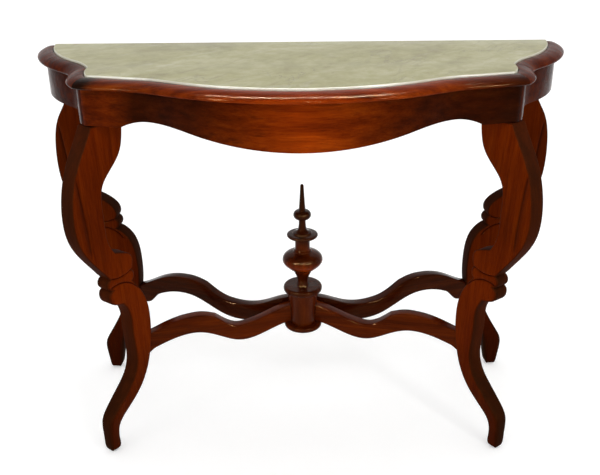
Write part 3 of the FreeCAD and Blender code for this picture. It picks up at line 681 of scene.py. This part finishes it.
def carving_points(leg, hollowed):
    """Places on a broad face where the carver's cuts need close points."""
    neck_out, neck_level = leg["neck"]
    spots = []
    for radius, rise, way in NECK_ARCS:
        for angle in np.radians(np.arange(-58, 58, 1.5)):
            for shift in (-3.6, -2.4, -1.2, 0, 0.5, 1.2, 2.4, 4, 7, 10):
                across, up = math.sin(angle), way * math.cos(angle)
                reach = radius + shift
                spots.append((neck_out + reach * across, neck_level + rise + reach * up))
    if hollowed:
        low, high = leg["groove"][2:]
        for share in np.linspace(0, 1, 90):
            for shift in (-7, -5, -3.2, -1.6, 0, 1.2, 2.6, 5, 8, 12, 17, 23):
                spots.append((hollow_line(leg, share) + shift, low + (high - low) * share))
    return spots


def inside(outline, spots):
    """Which spots lie inside a closed outline, by how often it passes on their right."""
    within = np.zeros(len(spots), bool)
    for (out, level), (next_out, next_level) in zip(outline, np.roll(outline, -1, axis=0)):
        passes = (level > spots[:, 1]) != (next_level > spots[:, 1])
        if passes.any():
            at = out + (spots[:, 1] - level) / (next_level - level) * (next_out - out)
            within ^= passes & (spots[:, 0] < at)
    return within


def broad_face(leg, border, hollowed):
    """Triangles over one broad face inside its rounded edge, closer where it is carved.

    Each point comes with the number of the border's point that it stands on, or -1.
    """
    cell = 6.0
    low, high = border.min(axis=0), border.max(axis=0)
    close = carving_points(leg, hollowed)
    over_sole = np.arange(low[0], high[0], 2.5)
    close += [(out, level) for level in (1.2, 2.4, 4, 6, 8.5) for out in over_sole]
    taken = {(round(out / cell), round(level / cell)) for out, level in close}
    wide = [
        (out, level)
        for out in np.arange(low[0], high[0], cell)
        for level in np.arange(low[1], high[1], cell)
        if (round(out / cell), round(level / cell)) not in taken
    ]
    spots = np.array(wide + close)
    gap = np.min(np.linalg.norm(spots[:, None, :] - border[None, :, :], axis=2), axis=1)
    spots = spots[inside(border, spots) & (gap > 1.1)]
    count = len(border)
    every = [Vector(point) for point in np.concatenate([border, spots])]
    edges = [(n, (n + 1) % count) for n in range(count)]
    verts, _, triangles, origins, _, _ = geometry.delaunay_2d_cdt(every, edges, [], 1, 0.01)
    source = [min(given) if given and min(given) < count else -1 for given in origins]
    return np.array([vert[:] for vert in verts]), triangles, source


def leg_turn(leg):
    """Turns a plank from the plane in which it is drawn to its place under the table."""
    rake, turn = math.radians(leg["rake"]), math.radians(leg["turn"])
    return Matrix.Rotation(rake, 3, "X") @ Matrix.Rotation(turn, 3, "Z")


def stood_up(leg, drawn, mirror):
    """Stands a drawn plank on its foot, its sole and its top cut level."""
    level = drawn[:, 2]
    room = drawn @ np.array(leg_turn(leg)).T
    near_ends = np.interp(level, [0, 40, 700, LEG_TOP], [1, 0, 0, 1])
    room[:, 2] += (level * (LEG_TOP / SAWN_TOP) - room[:, 2]) * near_ends
    room[:, 2] = np.clip(room[:, 2], 0, LEG_TOP)
    room[:, :2] += leg["foot"]
    if mirror:
        room[:, 0] *= -1
    return room * MM


def carved_leg(leg, mirror, finish):
    """One leg as a closed mesh: both faces, their rounded edges and the sawn edge between."""
    outline, rounding = sawn_outline(leg)
    normal = inward(outline)
    half = half_thickness(outline[:, 1])
    count = len(outline)
    points, sawn_edge, carved, faces = [], [], [], []

    def add(plan, across, sawn, depth):
        begin = len(points)
        points.extend(np.column_stack([plan[:, 0], across, plan[:, 1]]))
        sawn_edge.extend([sawn] * len(plan))
        carved.extend(depth / LIP_CUT)
        return begin

    def bridge(ring, other):
        ahead = [(n + 1) % count for n in range(count)]
        faces.extend((ring + n, ring + m, other + m, other + n) for n, m in enumerate(ahead))

    sawn_rings = []
    for side in (-1, 1):
        hollowed = side < 0
        rings = []
        for arc, share in zip(np.radians([0, 22.5, 45, 67.5, 90]), np.linspace(0.5, 1, 5)):
            plan = outline + normal * (rounding * (1 - math.cos(arc)))[:, None]
            depth = carving(leg, plan, hollowed) * share
            across = side * np.maximum(half - rounding * (1 - math.sin(arc)) - depth, 2)
            rings.append(add(plan, across, math.cos(arc) ** 0.6, depth))
        for ring, other in zip(rings, rings[1:]):
            bridge(ring, other)
        plan, triangles, source = broad_face(leg, outline + normal * rounding[:, None], hollowed)
        depth = carving(leg, plan, hollowed)
        begin = add(plan, side * np.maximum(half_thickness(plan[:, 1]) - depth, 2), 0.0, depth)
        at = [begin + n if border < 0 else rings[-1] + border for n, border in enumerate(source)]
        faces.extend(tuple(at[n] for n in triangle) for triangle in triangles)
        sawn_rings.append(rings[0])
    bridge(*sawn_rings)

    mesh = covered("carved_leg", stood_up(leg, np.array(points), mirror), faces, finish)
    for title, values in (("sawn_edge", sawn_edge), ("carved", carved)):
        layer = mesh.attributes.new(title, "FLOAT", "POINT")
        layer.data.foreach_set("value", np.array(values, np.float32))
    with on_the_bench(mesh) as work:
        loose = [vert for vert in work.verts if not vert.link_faces]
        bmesh.ops.delete(work, geom=loose, context="VERTS")
        bmesh.ops.remove_doubles(work, verts=work.verts, dist=1e-6)
        bmesh.ops.recalc_face_normals(work, faces=work.faces)
    smooth(mesh, 44)
    return mesh


UPRIGHT = (0, 90, 0)
LEG_TONES = [
    (0.0, 0.34), (0.14, 0.5), (0.28, 0.95), (0.46, 1.05), (0.62, 0.8), (0.76, 0.9), (0.88, 1.2),
]
# Along its height a leg's tones make it darker towards the foot. The rear legs are painted darker
# than the front ones: painted shade on the legs further back under the table.
LEG_SHADE = {"front": 1.0, "rear": 0.6}
CORNERS = [(row, side) for row in ("front", "rear") for side in ("left", "right")]
for row, side in CORNERS:
    seed = 2.0 + 3.3 * len(row) + (5 if side == "left" else 0)
    tones = [(at, tone * LEG_SHADE[row]) for at, tone in LEG_TONES]
    wood = rosewood(f"rosewood_leg_{row}_{side}", UPRIGHT, seed, tones, "Z", 0.4, 0.013)
    carved = carved_leg(LEGS[row], side == "left", wood)
    fit(f"carved_leg_{row}_{side}", carved, f"leg_{row}_{side}", "table")


# Stretchers: four serpentine rails sawn from 28 mm boards, the arrises rubbed round, dowelled
# into the knees of the legs and into the hub where all four meet.

RAIL_MEETING = Vector((0, 31 * MM, 0))
RAIL_THICKNESS = 28
RAIL_DEPTH = 43
RAIL_ROUNDING = 4.5
# The middle of each rail's board, in mm: how far out from the meeting point, and how high.
RAILS = {
    "front": [
        (14, 260.4), (42, 260), (106, 226), (164, 214), (241, 268), (336, 234), (364, 217),
        (400, 208),
    ],
    "rear": [
        (14, 270), (52, 269), (104, 229), (202, 222), (282, 281), (379, 270), (430, 230),
        (462, 226),
    ],
}
# Where the crest stands, how high it rises and how deep the dip before it is.
CRESTS = {"front": (205, 5.5, 4.0), "rear": (257, 3.6, 2.0)}
CREST_BEFORE = 26
CREST_AFTER = 60
DIP_BEFORE = 44
DIP_WIDTH = 24
# Where the heel begins, where it is full and how far it drops.
HEELS = {"front": (346, 364, 6.0), "rear": (385, 412, 12.0)}
HEEL_FADE = 30
# How far the drawn rail reaches, and which spot of the leg's plank it ends in.
RAIL_REACH = {"front": 368, "rear": 441}
RAIL_ENDS = {"front": (-116, 225), "rear": (-95, 240)}
RAIL_TUCK = 1.5 * MM
REAR_RAIL_GAP = 13 * MM
# The rear rails are painted darker than the front ones: painted shade on the rails further back
# under the table.
RAIL_SHADE = {"front": 0.6, "rear": 0.26}


class Shaping(Tree):
    """A Geometry Nodes tree with named sizes, which is run once and leaves a plain mesh."""

    KINDS = {float: "NodeSocketFloat", int: "NodeSocketInt", tuple: "NodeSocketVector"}

    def __init__(self, name, **sizes):
        self.group = bpy.data.node_groups.new(name, "GeometryNodeTree")
        super().__init__(self.group)
        self.sizes = sizes
        self.open_socket("Geometry", "NodeSocketGeometry")
        for title, given in sizes.items():
            self.open_socket(title, self.KINDS[type(given)])
        self.open_socket("Finish", "NodeSocketMaterial")
        self.open_socket("Geometry", "NodeSocketGeometry", "OUTPUT")
        self.entry = self.add("NodeGroupInput").socket.node

    def open_socket(self, title, kind, way="INPUT"):
        self.group.interface.new_socket(title, in_out=way, socket_type=kind)

    def given(self, title):
        return Value(self, self.entry.outputs[title])

    def row_and_column(self, columns):
        """Which row and column of a grid each of its points is in."""
        index = self.add("GeometryNodeInputIndex")
        row = self.math("FLOOR", index / columns + 1e-4)
        return row, index - row * columns

    def point_of_line(self, index):
        """The place of one point of the line that the tree is given."""
        return self.add(
            "GeometryNodeSampleIndex",
            {"data_type": "FLOAT_VECTOR", "domain": "POINT"},
            Geometry=self.given("Geometry"),
            Value=self.add("GeometryNodeInputPosition"),
            Index=index,
        )

    def finished(self, surface):
        """Ends the tree: instances made real, the seams welded and the finish put on."""
        real = self.add("GeometryNodeRealizeInstances", Geometry=surface)
        welded = self.add("GeometryNodeMergeByDistance", Geometry=real, Distance=1e-6)
        smoothed = self.add("GeometryNodeSetShadeSmooth", Geometry=welded)
        finish = self.given("Finish")
        coated = self.add("GeometryNodeSetMaterial", Geometry=smoothed, Material=finish)
        self.add("NodeGroupOutput", Geometry=coated)
        return self

    def run(self, line, finish):
        """The plain mesh that the tree makes from a line of points and its sizes."""
        drawn = bpy.data.meshes.new("line")
        drawn.from_pydata(line, [(n, n + 1) for n in range(len(line) - 1)], [])
        start = stand("line", drawn)
        modifier = start.modifiers.new("shaping", "NODES")
        modifier.node_group = self.group
        given = {**self.sizes, "Finish": finish}
        for item in self.group.interface.items_tree:
            if item.name in given:
                modifier[item.identifier] = given[item.name]
        bpy.context.view_layer.update()
        ready = start.evaluated_get(bpy.context.evaluated_depsgraph_get())
        mesh = bpy.data.meshes.new_from_object(ready)
        bpy.data.objects.remove(start)
        bpy.data.meshes.remove(drawn)
        return mesh


def rail_shaping(stations, corners, angle):
    """Upright sections set along a line of stations, whose y scales the section's depth there.

    The tail of the line is the section itself. The first and last row of the grid close the ends.
    """
    tree = Shaping(
        "rail_along_a_line",
        Stations=stations,
        Corners=corners,
        Thickness=RAIL_THICKNESS * MM,
        Depth=RAIL_DEPTH * MM,
        Angle=angle,
        Centre=tuple(RAIL_MEETING),
    )
    stations, corners = tree.given("Stations"), tree.given("Corners")
    grid = tree.add("GeometryNodeMeshGrid", Vertices_X=stations + 2, Vertices_Y=corners + 1)
    row, column = tree.row_and_column(corners + 1)
    station = tree.math("MINIMUM", tree.math("MAXIMUM", row - 1, 0.0), stations - 1)
    middle = tree.point_of_line(station)
    corner = tree.point_of_line(tree.math("MODULO", column, corners) + stations)
    wide = tree.math("GREATER_THAN", row, 0.5) * tree.math("LESS_THAN", row, stations + 0.5)
    height = tree.part(corner, "Z") * tree.given("Depth") * tree.part(middle, "Y")
    place = tree.add(
        "ShaderNodeCombineXYZ",
        X=tree.part(middle, "X"),
        Y=tree.part(corner, "X") * tree.given("Thickness") * wide,
        Z=tree.part(middle, "Z") + height * wide,
    )
    bent = tree.add("GeometryNodeSetPosition", Geometry=grid, Position=place)
    turned = tree.add("ShaderNodeCombineXYZ", Z=tree.given("Angle"))
    laid = tree.add(
        "GeometryNodeTransform", Geometry=bent, Translation=tree.given("Centre"), Rotation=turned
    )
    return tree.finished(laid)


def rubbed_section(round_x, round_z, steps=4):
    """A square of side one whose corners are rubbed round, as points of x and z."""
    points = []
    for quarter, (sign_x, sign_z) in enumerate([(1, 1), (-1, 1), (-1, -1), (1, -1)]):
        for angle in np.radians(90 * quarter + np.linspace(0, 90, steps + 1)):
            x = sign_x * (0.5 - round_x) + round_x * math.cos(angle)
            z = sign_z * (0.5 - round_z) + round_z * math.sin(angle)
            points.append((x, 0, z))
    return points


def sawn_off(mesh, spot, way):
    """Saws a piece through a spot and throws away what lies the way given."""
    with on_the_bench(mesh) as work:
        every = work.verts[:] + work.edges[:] + work.faces[:]
        plane = {"plane_co": spot, "plane_no": way, "dist": 1e-7}
        bmesh.ops.bisect_plane(work, geom=every, clear_outer=True, **plane)
        cut_edges = [edge for edge in work.edges if len(edge.link_faces) == 1]
        bmesh.ops.holes_fill(work, edges=cut_edges, sides=0)
        bmesh.ops.recalc_face_normals(work, faces=work.faces)
    smooth(mesh)


def eased_step(out, low, high):
    share = np.clip((out - low) / (high - low), 0, 1)
    return share * share * (3 - 2 * share)


def rail_edges(row):
    """Levels of a rail's upper and lower edge, with the saw's crest above and heel below."""
    middle = bend(RAILS[row], 120)
    crest, lift, dip = CRESTS[row]
    out = np.sort(np.append(middle[:, 0], crest))
    level = np.interp(out, middle[:, 0], middle[:, 1])
    before = np.clip(1 - (crest - out) / CREST_BEFORE, 0, 1) ** 1.5
    after = np.clip(1 - (out - crest) / CREST_AFTER, 0, 1)
    upper = level + RAIL_DEPTH / 2 + lift * np.where(out < crest, before, after)
    upper -= dip * np.exp(-(((out - crest + DIP_BEFORE) / DIP_WIDTH) ** 2))
    begin, full, drop = HEELS[row]
    heel = eased_step(out, begin, full) - 0.75 * eased_step(out, full, full + HEEL_FADE)
    return out, upper, level - RAIL_DEPTH / 2 - drop * heel


def rail_run(row, mirror):
    """From the rails' meeting point to a rail's end in its leg, and the way of the leg's plank."""
    leg = LEGS[row]
    out, level = RAIL_ENDS[row]
    spot = leg_turn(leg) @ Vector((out, 0, level))
    way = leg_turn(leg) @ Vector((1, 0, 0))
    end = Vector((spot.x + leg["foot"][0], spot.y + leg["foot"][1], level)) * MM
    if mirror:
        end.x *= -1
        way.x *= -1
    return end - RAIL_MEETING, way


for row, side in CORNERS:
    run, way = rail_run(row, side == "left")
    angle = math.atan2(run.y, run.x)
    stretch = math.hypot(run.x, run.y) / MM / RAIL_REACH[row]
    out, upper, lower = rail_edges(row)
    middle, share = (upper + lower) / 2 * MM, (upper - lower) / RAIL_DEPTH
    line = np.column_stack([out * stretch * MM, share, middle])
    section = rubbed_section(RAIL_ROUNDING / RAIL_THICKNESS, RAIL_ROUNDING / RAIL_DEPTH)
    grain = (0, 0, math.degrees(angle))
    seed = 4.4 + len(row) + math.degrees(angle) / 50
    tones = [(0.0, RAIL_SHADE[row]), (1.0, RAIL_SHADE[row])]
    wood = rosewood(f"rosewood_stretcher_{row}_{side}", grain, seed, tones, "X", 0.7, 0.07)
    rail = rail_shaping(len(line), len(section), angle).run([*map(tuple, line), *section], wood)
    sawn_off(rail, RAIL_MEETING + run + way * RAIL_TUCK, way)
    if row == "rear":
        front_run, _ = rail_run("front", side == "left")
        across = Vector((abs(front_run.y), abs(front_run.x), 0)).normalized()
        if side == "left":
            across.x *= -1
        sawn_off(rail, RAIL_MEETING + across * REAR_RAIL_GAP, -across)
    fit(f"serpentine_rail_{row}_{side}", rail, f"stretcher_{row}_{side}", "table")


# Hub and finial: four pieces turned on a lathe, a waisted block that takes the rails, a ring
# under it, a flat cap on it and the finial, whose foot ends in a spigot through the cap.

HUB_Y = 21 * MM
LATHE_SIDES = 112
BASE_LEVEL = 222
HUB_LEVEL = 234
CAP_LEVEL = 316
FINIAL_LEVEL = 330
HUB_TONES = [(0.3, 0.42), (1.0, 1.0)]
CAP_TONES = [(0.4, 0.3), (1.0, 1.0)]


def lathe_shaping(rings):
    """Spins a half section round the hub's axis."""
    tree = Shaping("turned_on_a_lathe", Rings=rings, Sides=LATHE_SIDES, Centre=(0.0, HUB_Y, 0.0))
    rings, sides = tree.given("Rings"), tree.given("Sides")
    grid = tree.add("GeometryNodeMeshGrid", Vertices_X=sides + 1, Vertices_Y=rings)
    row, ring = tree.row_and_column(rings)
    spot = tree.point_of_line(ring)
    angle = row / sides * (2 * math.pi)
    place = tree.add(
        "ShaderNodeCombineXYZ",
        X=tree.part(spot, "X") * tree.math("COSINE", angle),
        Y=tree.part(spot, "X") * tree.math("SINE", angle),
        Z=tree.part(spot, "Z"),
    )
    spun = tree.add("GeometryNodeSetPosition", Geometry=grid, Position=place)
    return tree.finished(
        tree.add("GeometryNodeTransform", Geometry=spun, Translation=tree.given("Centre"))
    )


def turn_piece(name, node, profile, tones, seed):
    """Turns a half section, given in mm, from rosewood."""
    wood = rosewood(f"rosewood_{name}", UPRIGHT, seed, tones, "Z", 0.7, 0.09)
    line = [(reach * MM, 0, level * MM) for reach, level in profile]
    mesh = lathe_shaping(len(line)).run(line, wood)
    with on_the_bench(mesh) as work:
        bmesh.ops.dissolve_degenerate(work, dist=1e-7, edges=work.edges)
        bmesh.ops.recalc_face_normals(work, faces=work.faces)
    smooth(mesh, 42)
    fit(f"turned_{name}", mesh, node, "table")


def rolled_disc(low, high, flat, roll, bulge, count):
    """The half section of a disc whose flat faces end in a turned roll."""
    middle, half = (low + high) / 2, (high - low) / 2
    edge = [
        (roll + bulge * math.sin(angle) ** 0.8, middle - half * math.cos(angle))
        for angle in np.linspace(0.15, math.pi - 0.15, count)
    ]
    return [(0, low), (flat, low), *edge, (flat, high), (0, high)]


def waist(level):
    """How far the barrel reaches at a level: it flares upwards and is drawn in at its middle."""
    share = (level - HUB_LEVEL - 1) / (CAP_LEVEL - HUB_LEVEL - 2)
    return 30.2 + 7.3 * share - 1.7 * math.sin(math.pi * share)


side_line = [(waist(level), level) for level in np.linspace(HUB_LEVEL + 1, CAP_LEVEL - 0.8, 30)]
barrel = [(0, HUB_LEVEL), (29.5, HUB_LEVEL), *side_line, (36.8, CAP_LEVEL), (0, CAP_LEVEL)]
turn_piece("hub", "hub", barrel, HUB_TONES, 1.3)
ring = rolled_disc(BASE_LEVEL, HUB_LEVEL, 38.0, 38.2, 5.8, 15)
turn_piece("base_ring", "hub_base_ring", ring, HUB_TONES, 2.2)
cap = rolled_disc(CAP_LEVEL, FINIAL_LEVEL, 38.5, 38.8, 6.2, 17)
turn_piece("cap", "hub_cap", cap, CAP_TONES, 3.7)

# The finial's foot, urn, neck and saucer, then its spire: reach and height over the cap, in mm.
FINIAL = [
    (14.8, 0), (13.4, 3), (12, 8), (11.7, 13), (12.5, 18), (14.8, 24), (19, 32.5), (23.2, 39.5),
    (25.4, 41.6), (29, 44), (35, 49), (41, 55), (45, 61), (46, 66), (45, 71.5), (42, 76.5),
    (37, 80.5), (30, 83.6), (23.5, 85.6), (20.6, 87), (20.4, 89), (19, 90.6), (17.6, 92.5),
    (17, 97), (16.8, 106), (17.2, 113), (19.5, 118.5), (26, 121.6), (32, 123.3), (34.4, 125),
    (35.2, 127), (34.6, 129), (32, 130.2), (26, 130.9), (22.6, 131.2), (21.6, 133), (20.2, 134.6),
    (16, 135.8), (12, 138.4), (9.6, 142), (8.6, 148), (7.9, 156), (7.7, 163), (8.4, 166),
]
SPIRE = [
    (8.2, 187), (7.5, 190), (6.4, 203), (5.3, 220), (4.4, 236), (3.9, 245), (3, 248), (1.6, 249),
    (0, 249),
]
SPIGOT = [(0, -13.5), (7.6, -13.5), (8, -13), (8, 0)]


def through(points, between=4):
    """A line through the given points that runs smoothly from each to the next."""
    points = np.array(points, float)
    padded = np.vstack([points[0] * 2 - points[1], points, points[-1] * 2 - points[-2]])
    line = []
    for n in range(1, len(padded) - 2):
        a, b, c, d = padded[n - 1 : n + 3]
        for share in np.linspace(0, 1, between, endpoint=False):
            line.append(
                0.5 * (2 * b + (c - a) * share + (2 * a - 5 * b + 4 * c - d) * share**2
                + (3 * b - a - 3 * c + d) * share**3)
            )
    return line + [points[-1]]


knop = [
    (8.3 + 11.7 * math.cos(angle) ** 0.9, 176.5 + 10.6 * math.sin(angle))
    for angle in np.radians(np.linspace(-66, 66, 22))
]
profile = [
    (max(reach, 0), FINIAL_LEVEL + height)
    for reach, height in SPIGOT + through(FINIAL) + knop + through(SPIRE)
]
# Painted light: the urn's lower belly is painted bright, a painted highlight where it faces the
# lamps, and the shoulder above it is painted dark as painted shade.
FINIAL_TONES = [
    (0.425, 0.3), (0.438, 0.8), (0.45, 1.5), (0.461, 1.0), (0.472, 0.3), (0.485, 0.4), (0.5, 0.6),
    (0.52, 0.25), (0.56, 0.2), (0.68, 0.1),
]
turn_piece("finial", "finial", profile, FINIAL_TONES, 5.1)


# Frame behind the aprons: a back rail, corner blocks and two bearers of plain cedar, planed but
# left unvarnished, glued and screwed inside the aprons.

CEDAR_SHADES = [(0.3, (0.10, 0.048, 0.022)), (0.5, (0.19, 0.10, 0.05)), (0.7, (0.27, 0.155, 0.085))]
CEDAR_GREYED = (0.07, 0.05, 0.035, 1)


def plain_cedar(name, turn, seed):
    finish = Finish(name)
    shift = (seed, seed, 1)
    fibre = finish.cloud(finish.laid(turn, (1, 22, 22), shift), 0.08, 6.0, 0.7)
    band = finish.cloud(finish.laid(turn, (1, 9, 9), shift), 0.2, 3.0, 0.5, 0.5)
    grey = finish.cloud(finish.laid(shift=shift), 0.12, 4.0)
    wood = finish.shades(band * 0.6 + fibre * 0.4, CEDAR_SHADES)
    wood = finish.blend(finish.rise(grey, 0.45, 0.7) * 0.5, wood, CEDAR_GREYED)
    return finish.set(
        Base_Color=wood,
        Roughness=0.62 + fibre * 0.25,
        Specular_IOR_Level=0.3,
        Normal=finish.relief(fibre, 0.0006),
    )


FRAME_GRAIN = {
    "back_rail": (0, 0, 0),
    "bearer_left": (0, 0, 90),
    "bearer_right": (0, 0, 90),
    **{f"corner_block_{row}_{side}": UPRIGHT for row, side in CORNERS},
}
for n, (node, grain) in enumerate(FRAME_GRAIN.items()):
    board = planed(node, plain_cedar(f"cedar_{node}", grain, 1.7 * n), 1 * MM, 2)
    fit(f"planed_{node}", board, node, "table")


# Dowels and screws: beech dowels in every joint of legs and stretchers, and countersunk steel
# screws through the blocks and the back rail; these keep the solids' own surfaces.

BEECH_SHADES = [(0.3, (0.33, 0.2, 0.1)), (0.7, (0.52, 0.34, 0.19))]
STEEL = (0.23, 0.22, 0.21, 1)
RUST = (0.12, 0.045, 0.02, 1)


def beech(name):
    finish = Finish(name)
    fibre = finish.cloud(finish.laid(finer=(8, 8, 1)), 0.03, 4.0, 0.7)
    wood = finish.shades(fibre, BEECH_SHADES)
    grain = finish.relief(fibre, 0.0003)
    return finish.set(Base_Color=wood, Roughness=0.55 + fibre * 0.2, Normal=grain)


def blued_steel(name):
    finish = Finish(name)
    spots = finish.cloud(finish.place, 0.004, 4.0, 0.7)
    rust = finish.rise(spots, 0.52, 0.68)
    return finish.set(
        Base_Color=finish.blend(rust * 0.7, STEEL, RUST),
        Metallic=1 - rust * 0.7,
        Roughness=0.36 + rust * 0.4,
        Normal=finish.relief(spots, 0.0002),
    )


MADE_OF = {
    "leg_dowels": beech,
    "stretcher_dowels": beech,
    "corner_block_screws": blued_steel,
    "bearer_screws": blued_steel,
}
for node, finish in MADE_OF.items():
    nodes[node].data.materials.clear()
    nodes[node].data.materials.append(finish(f"{finish.__name__}_{node}"))


# Studio: a sheet of white paper on the floor, plain soft light from all round and the camera.
# Four of the lamps only leave glints in the polish and put no light on the wood or the floor.

BLACK = (0, 0, 0, 1)
WHITE = (1, 1, 1, 1)
PAPER_REACH = 12
TABLE_MIDDLE = (0, 0, 0.5)


def seen(tree):
    """One for rays that show a surface, straight or in a reflection, and nought for its light."""
    rays = ("Is Camera Ray", "Is Glossy Ray", "Is Transmission Ray")
    return sum(tree.add("ShaderNodeLightPath", result=ray) for ray in rays)


def white_paper():
    paper = Finish("white_paper")
    return paper.set(
        Base_Color=(0.86, 0.86, 0.86, 1),
        Roughness=0.9,
        Specular_IOR_Level=0.0,
        Emission_Color=paper.blend(seen(paper), BLACK, WHITE),
        Emission_Strength=0.33,
    )


corners = [(x * PAPER_REACH, y * PAPER_REACH, 0) for x, y in ((-1, -1), (1, -1), (1, 1), (-1, 1))]
sheet = covered("studio_floor", corners, [(0, 1, 2, 3)], white_paper())
floor = stand("studio_floor", sheet)

# The camera stands before the table and above it, looking down at its middle. Its lens and its
# shift are counted in pixels of a picture 600 wide.
PICTURE_WIDTH = 600
LENS = 817
SHIFT_RIGHT, SHIFT_UP = -2.3, -8.5
CAMERA_STAND = (0, -1.6659, 1.2219)
CAMERA_TILT = 66
CAMERA_ROLL = -0.5

view = bpy.data.cameras.new("studio_camera")
view.sensor_width = 36
view.lens = view.sensor_width * LENS / PICTURE_WIDTH
view.shift_x = SHIFT_RIGHT / PICTURE_WIDTH
view.shift_y = SHIFT_UP / PICTURE_WIDTH
camera = stand("studio_camera", view)
tilt = Matrix.Rotation(math.radians(CAMERA_TILT), 4, "X")
roll = Matrix.Rotation(math.radians(CAMERA_ROLL), 4, "Z")
camera.matrix_world = Matrix.Translation(CAMERA_STAND) @ tilt @ roll
bpy.context.scene.camera = camera


def softbox(name, place, size, strength, lights_wood=True):
    """A lamp turned to the table; one that lights no wood is only seen in the polish."""
    data = bpy.data.lights.new(name, "AREA")
    data.shape = "RECTANGLE"
    data.size, data.size_y = size
    data.energy = strength
    lamp = stand(name, data)
    lamp.visible_diffuse = lights_wood
    turn = (Vector(TABLE_MIDDLE) - Vector(place)).to_track_quat("-Z", "Y")
    lamp.matrix_world = Matrix.Translation(place) @ turn.to_matrix().to_4x4()


softbox("lamp_right", (2.2, -2.4, 2.6), (0.5, 0.5), 15)
softbox("lamp_left", (-2.6, -1.9, 2.2), (0.5, 0.5), 6)
softbox("strip_overhead", (0.0, -0.1, 2.7), (2.2, 0.06), 420, False)
softbox("glint_right", (2.0, -2.3, 1.9), (0.35, 0.35), 260, False)
softbox("glint_left", (-2.0, -2.3, 1.9), (0.35, 0.35), 260, False)
softbox("glint_over_camera", (0.06, -1.72, 1.42), (0.1, 0.1), 45, False)

world = bpy.data.worlds.new("studio_light")
world.use_nodes = True
sky = Tree(world.node_tree)
glow = sky.add("ShaderNodeBackground", Color=WHITE, Strength=0.92 + seen(sky) * 0.08)
sky.add("ShaderNodeOutputWorld", Surface=glow)
bpy.context.scene.world = world
bpy.context.scene.view_settings.view_transform = "Standard"
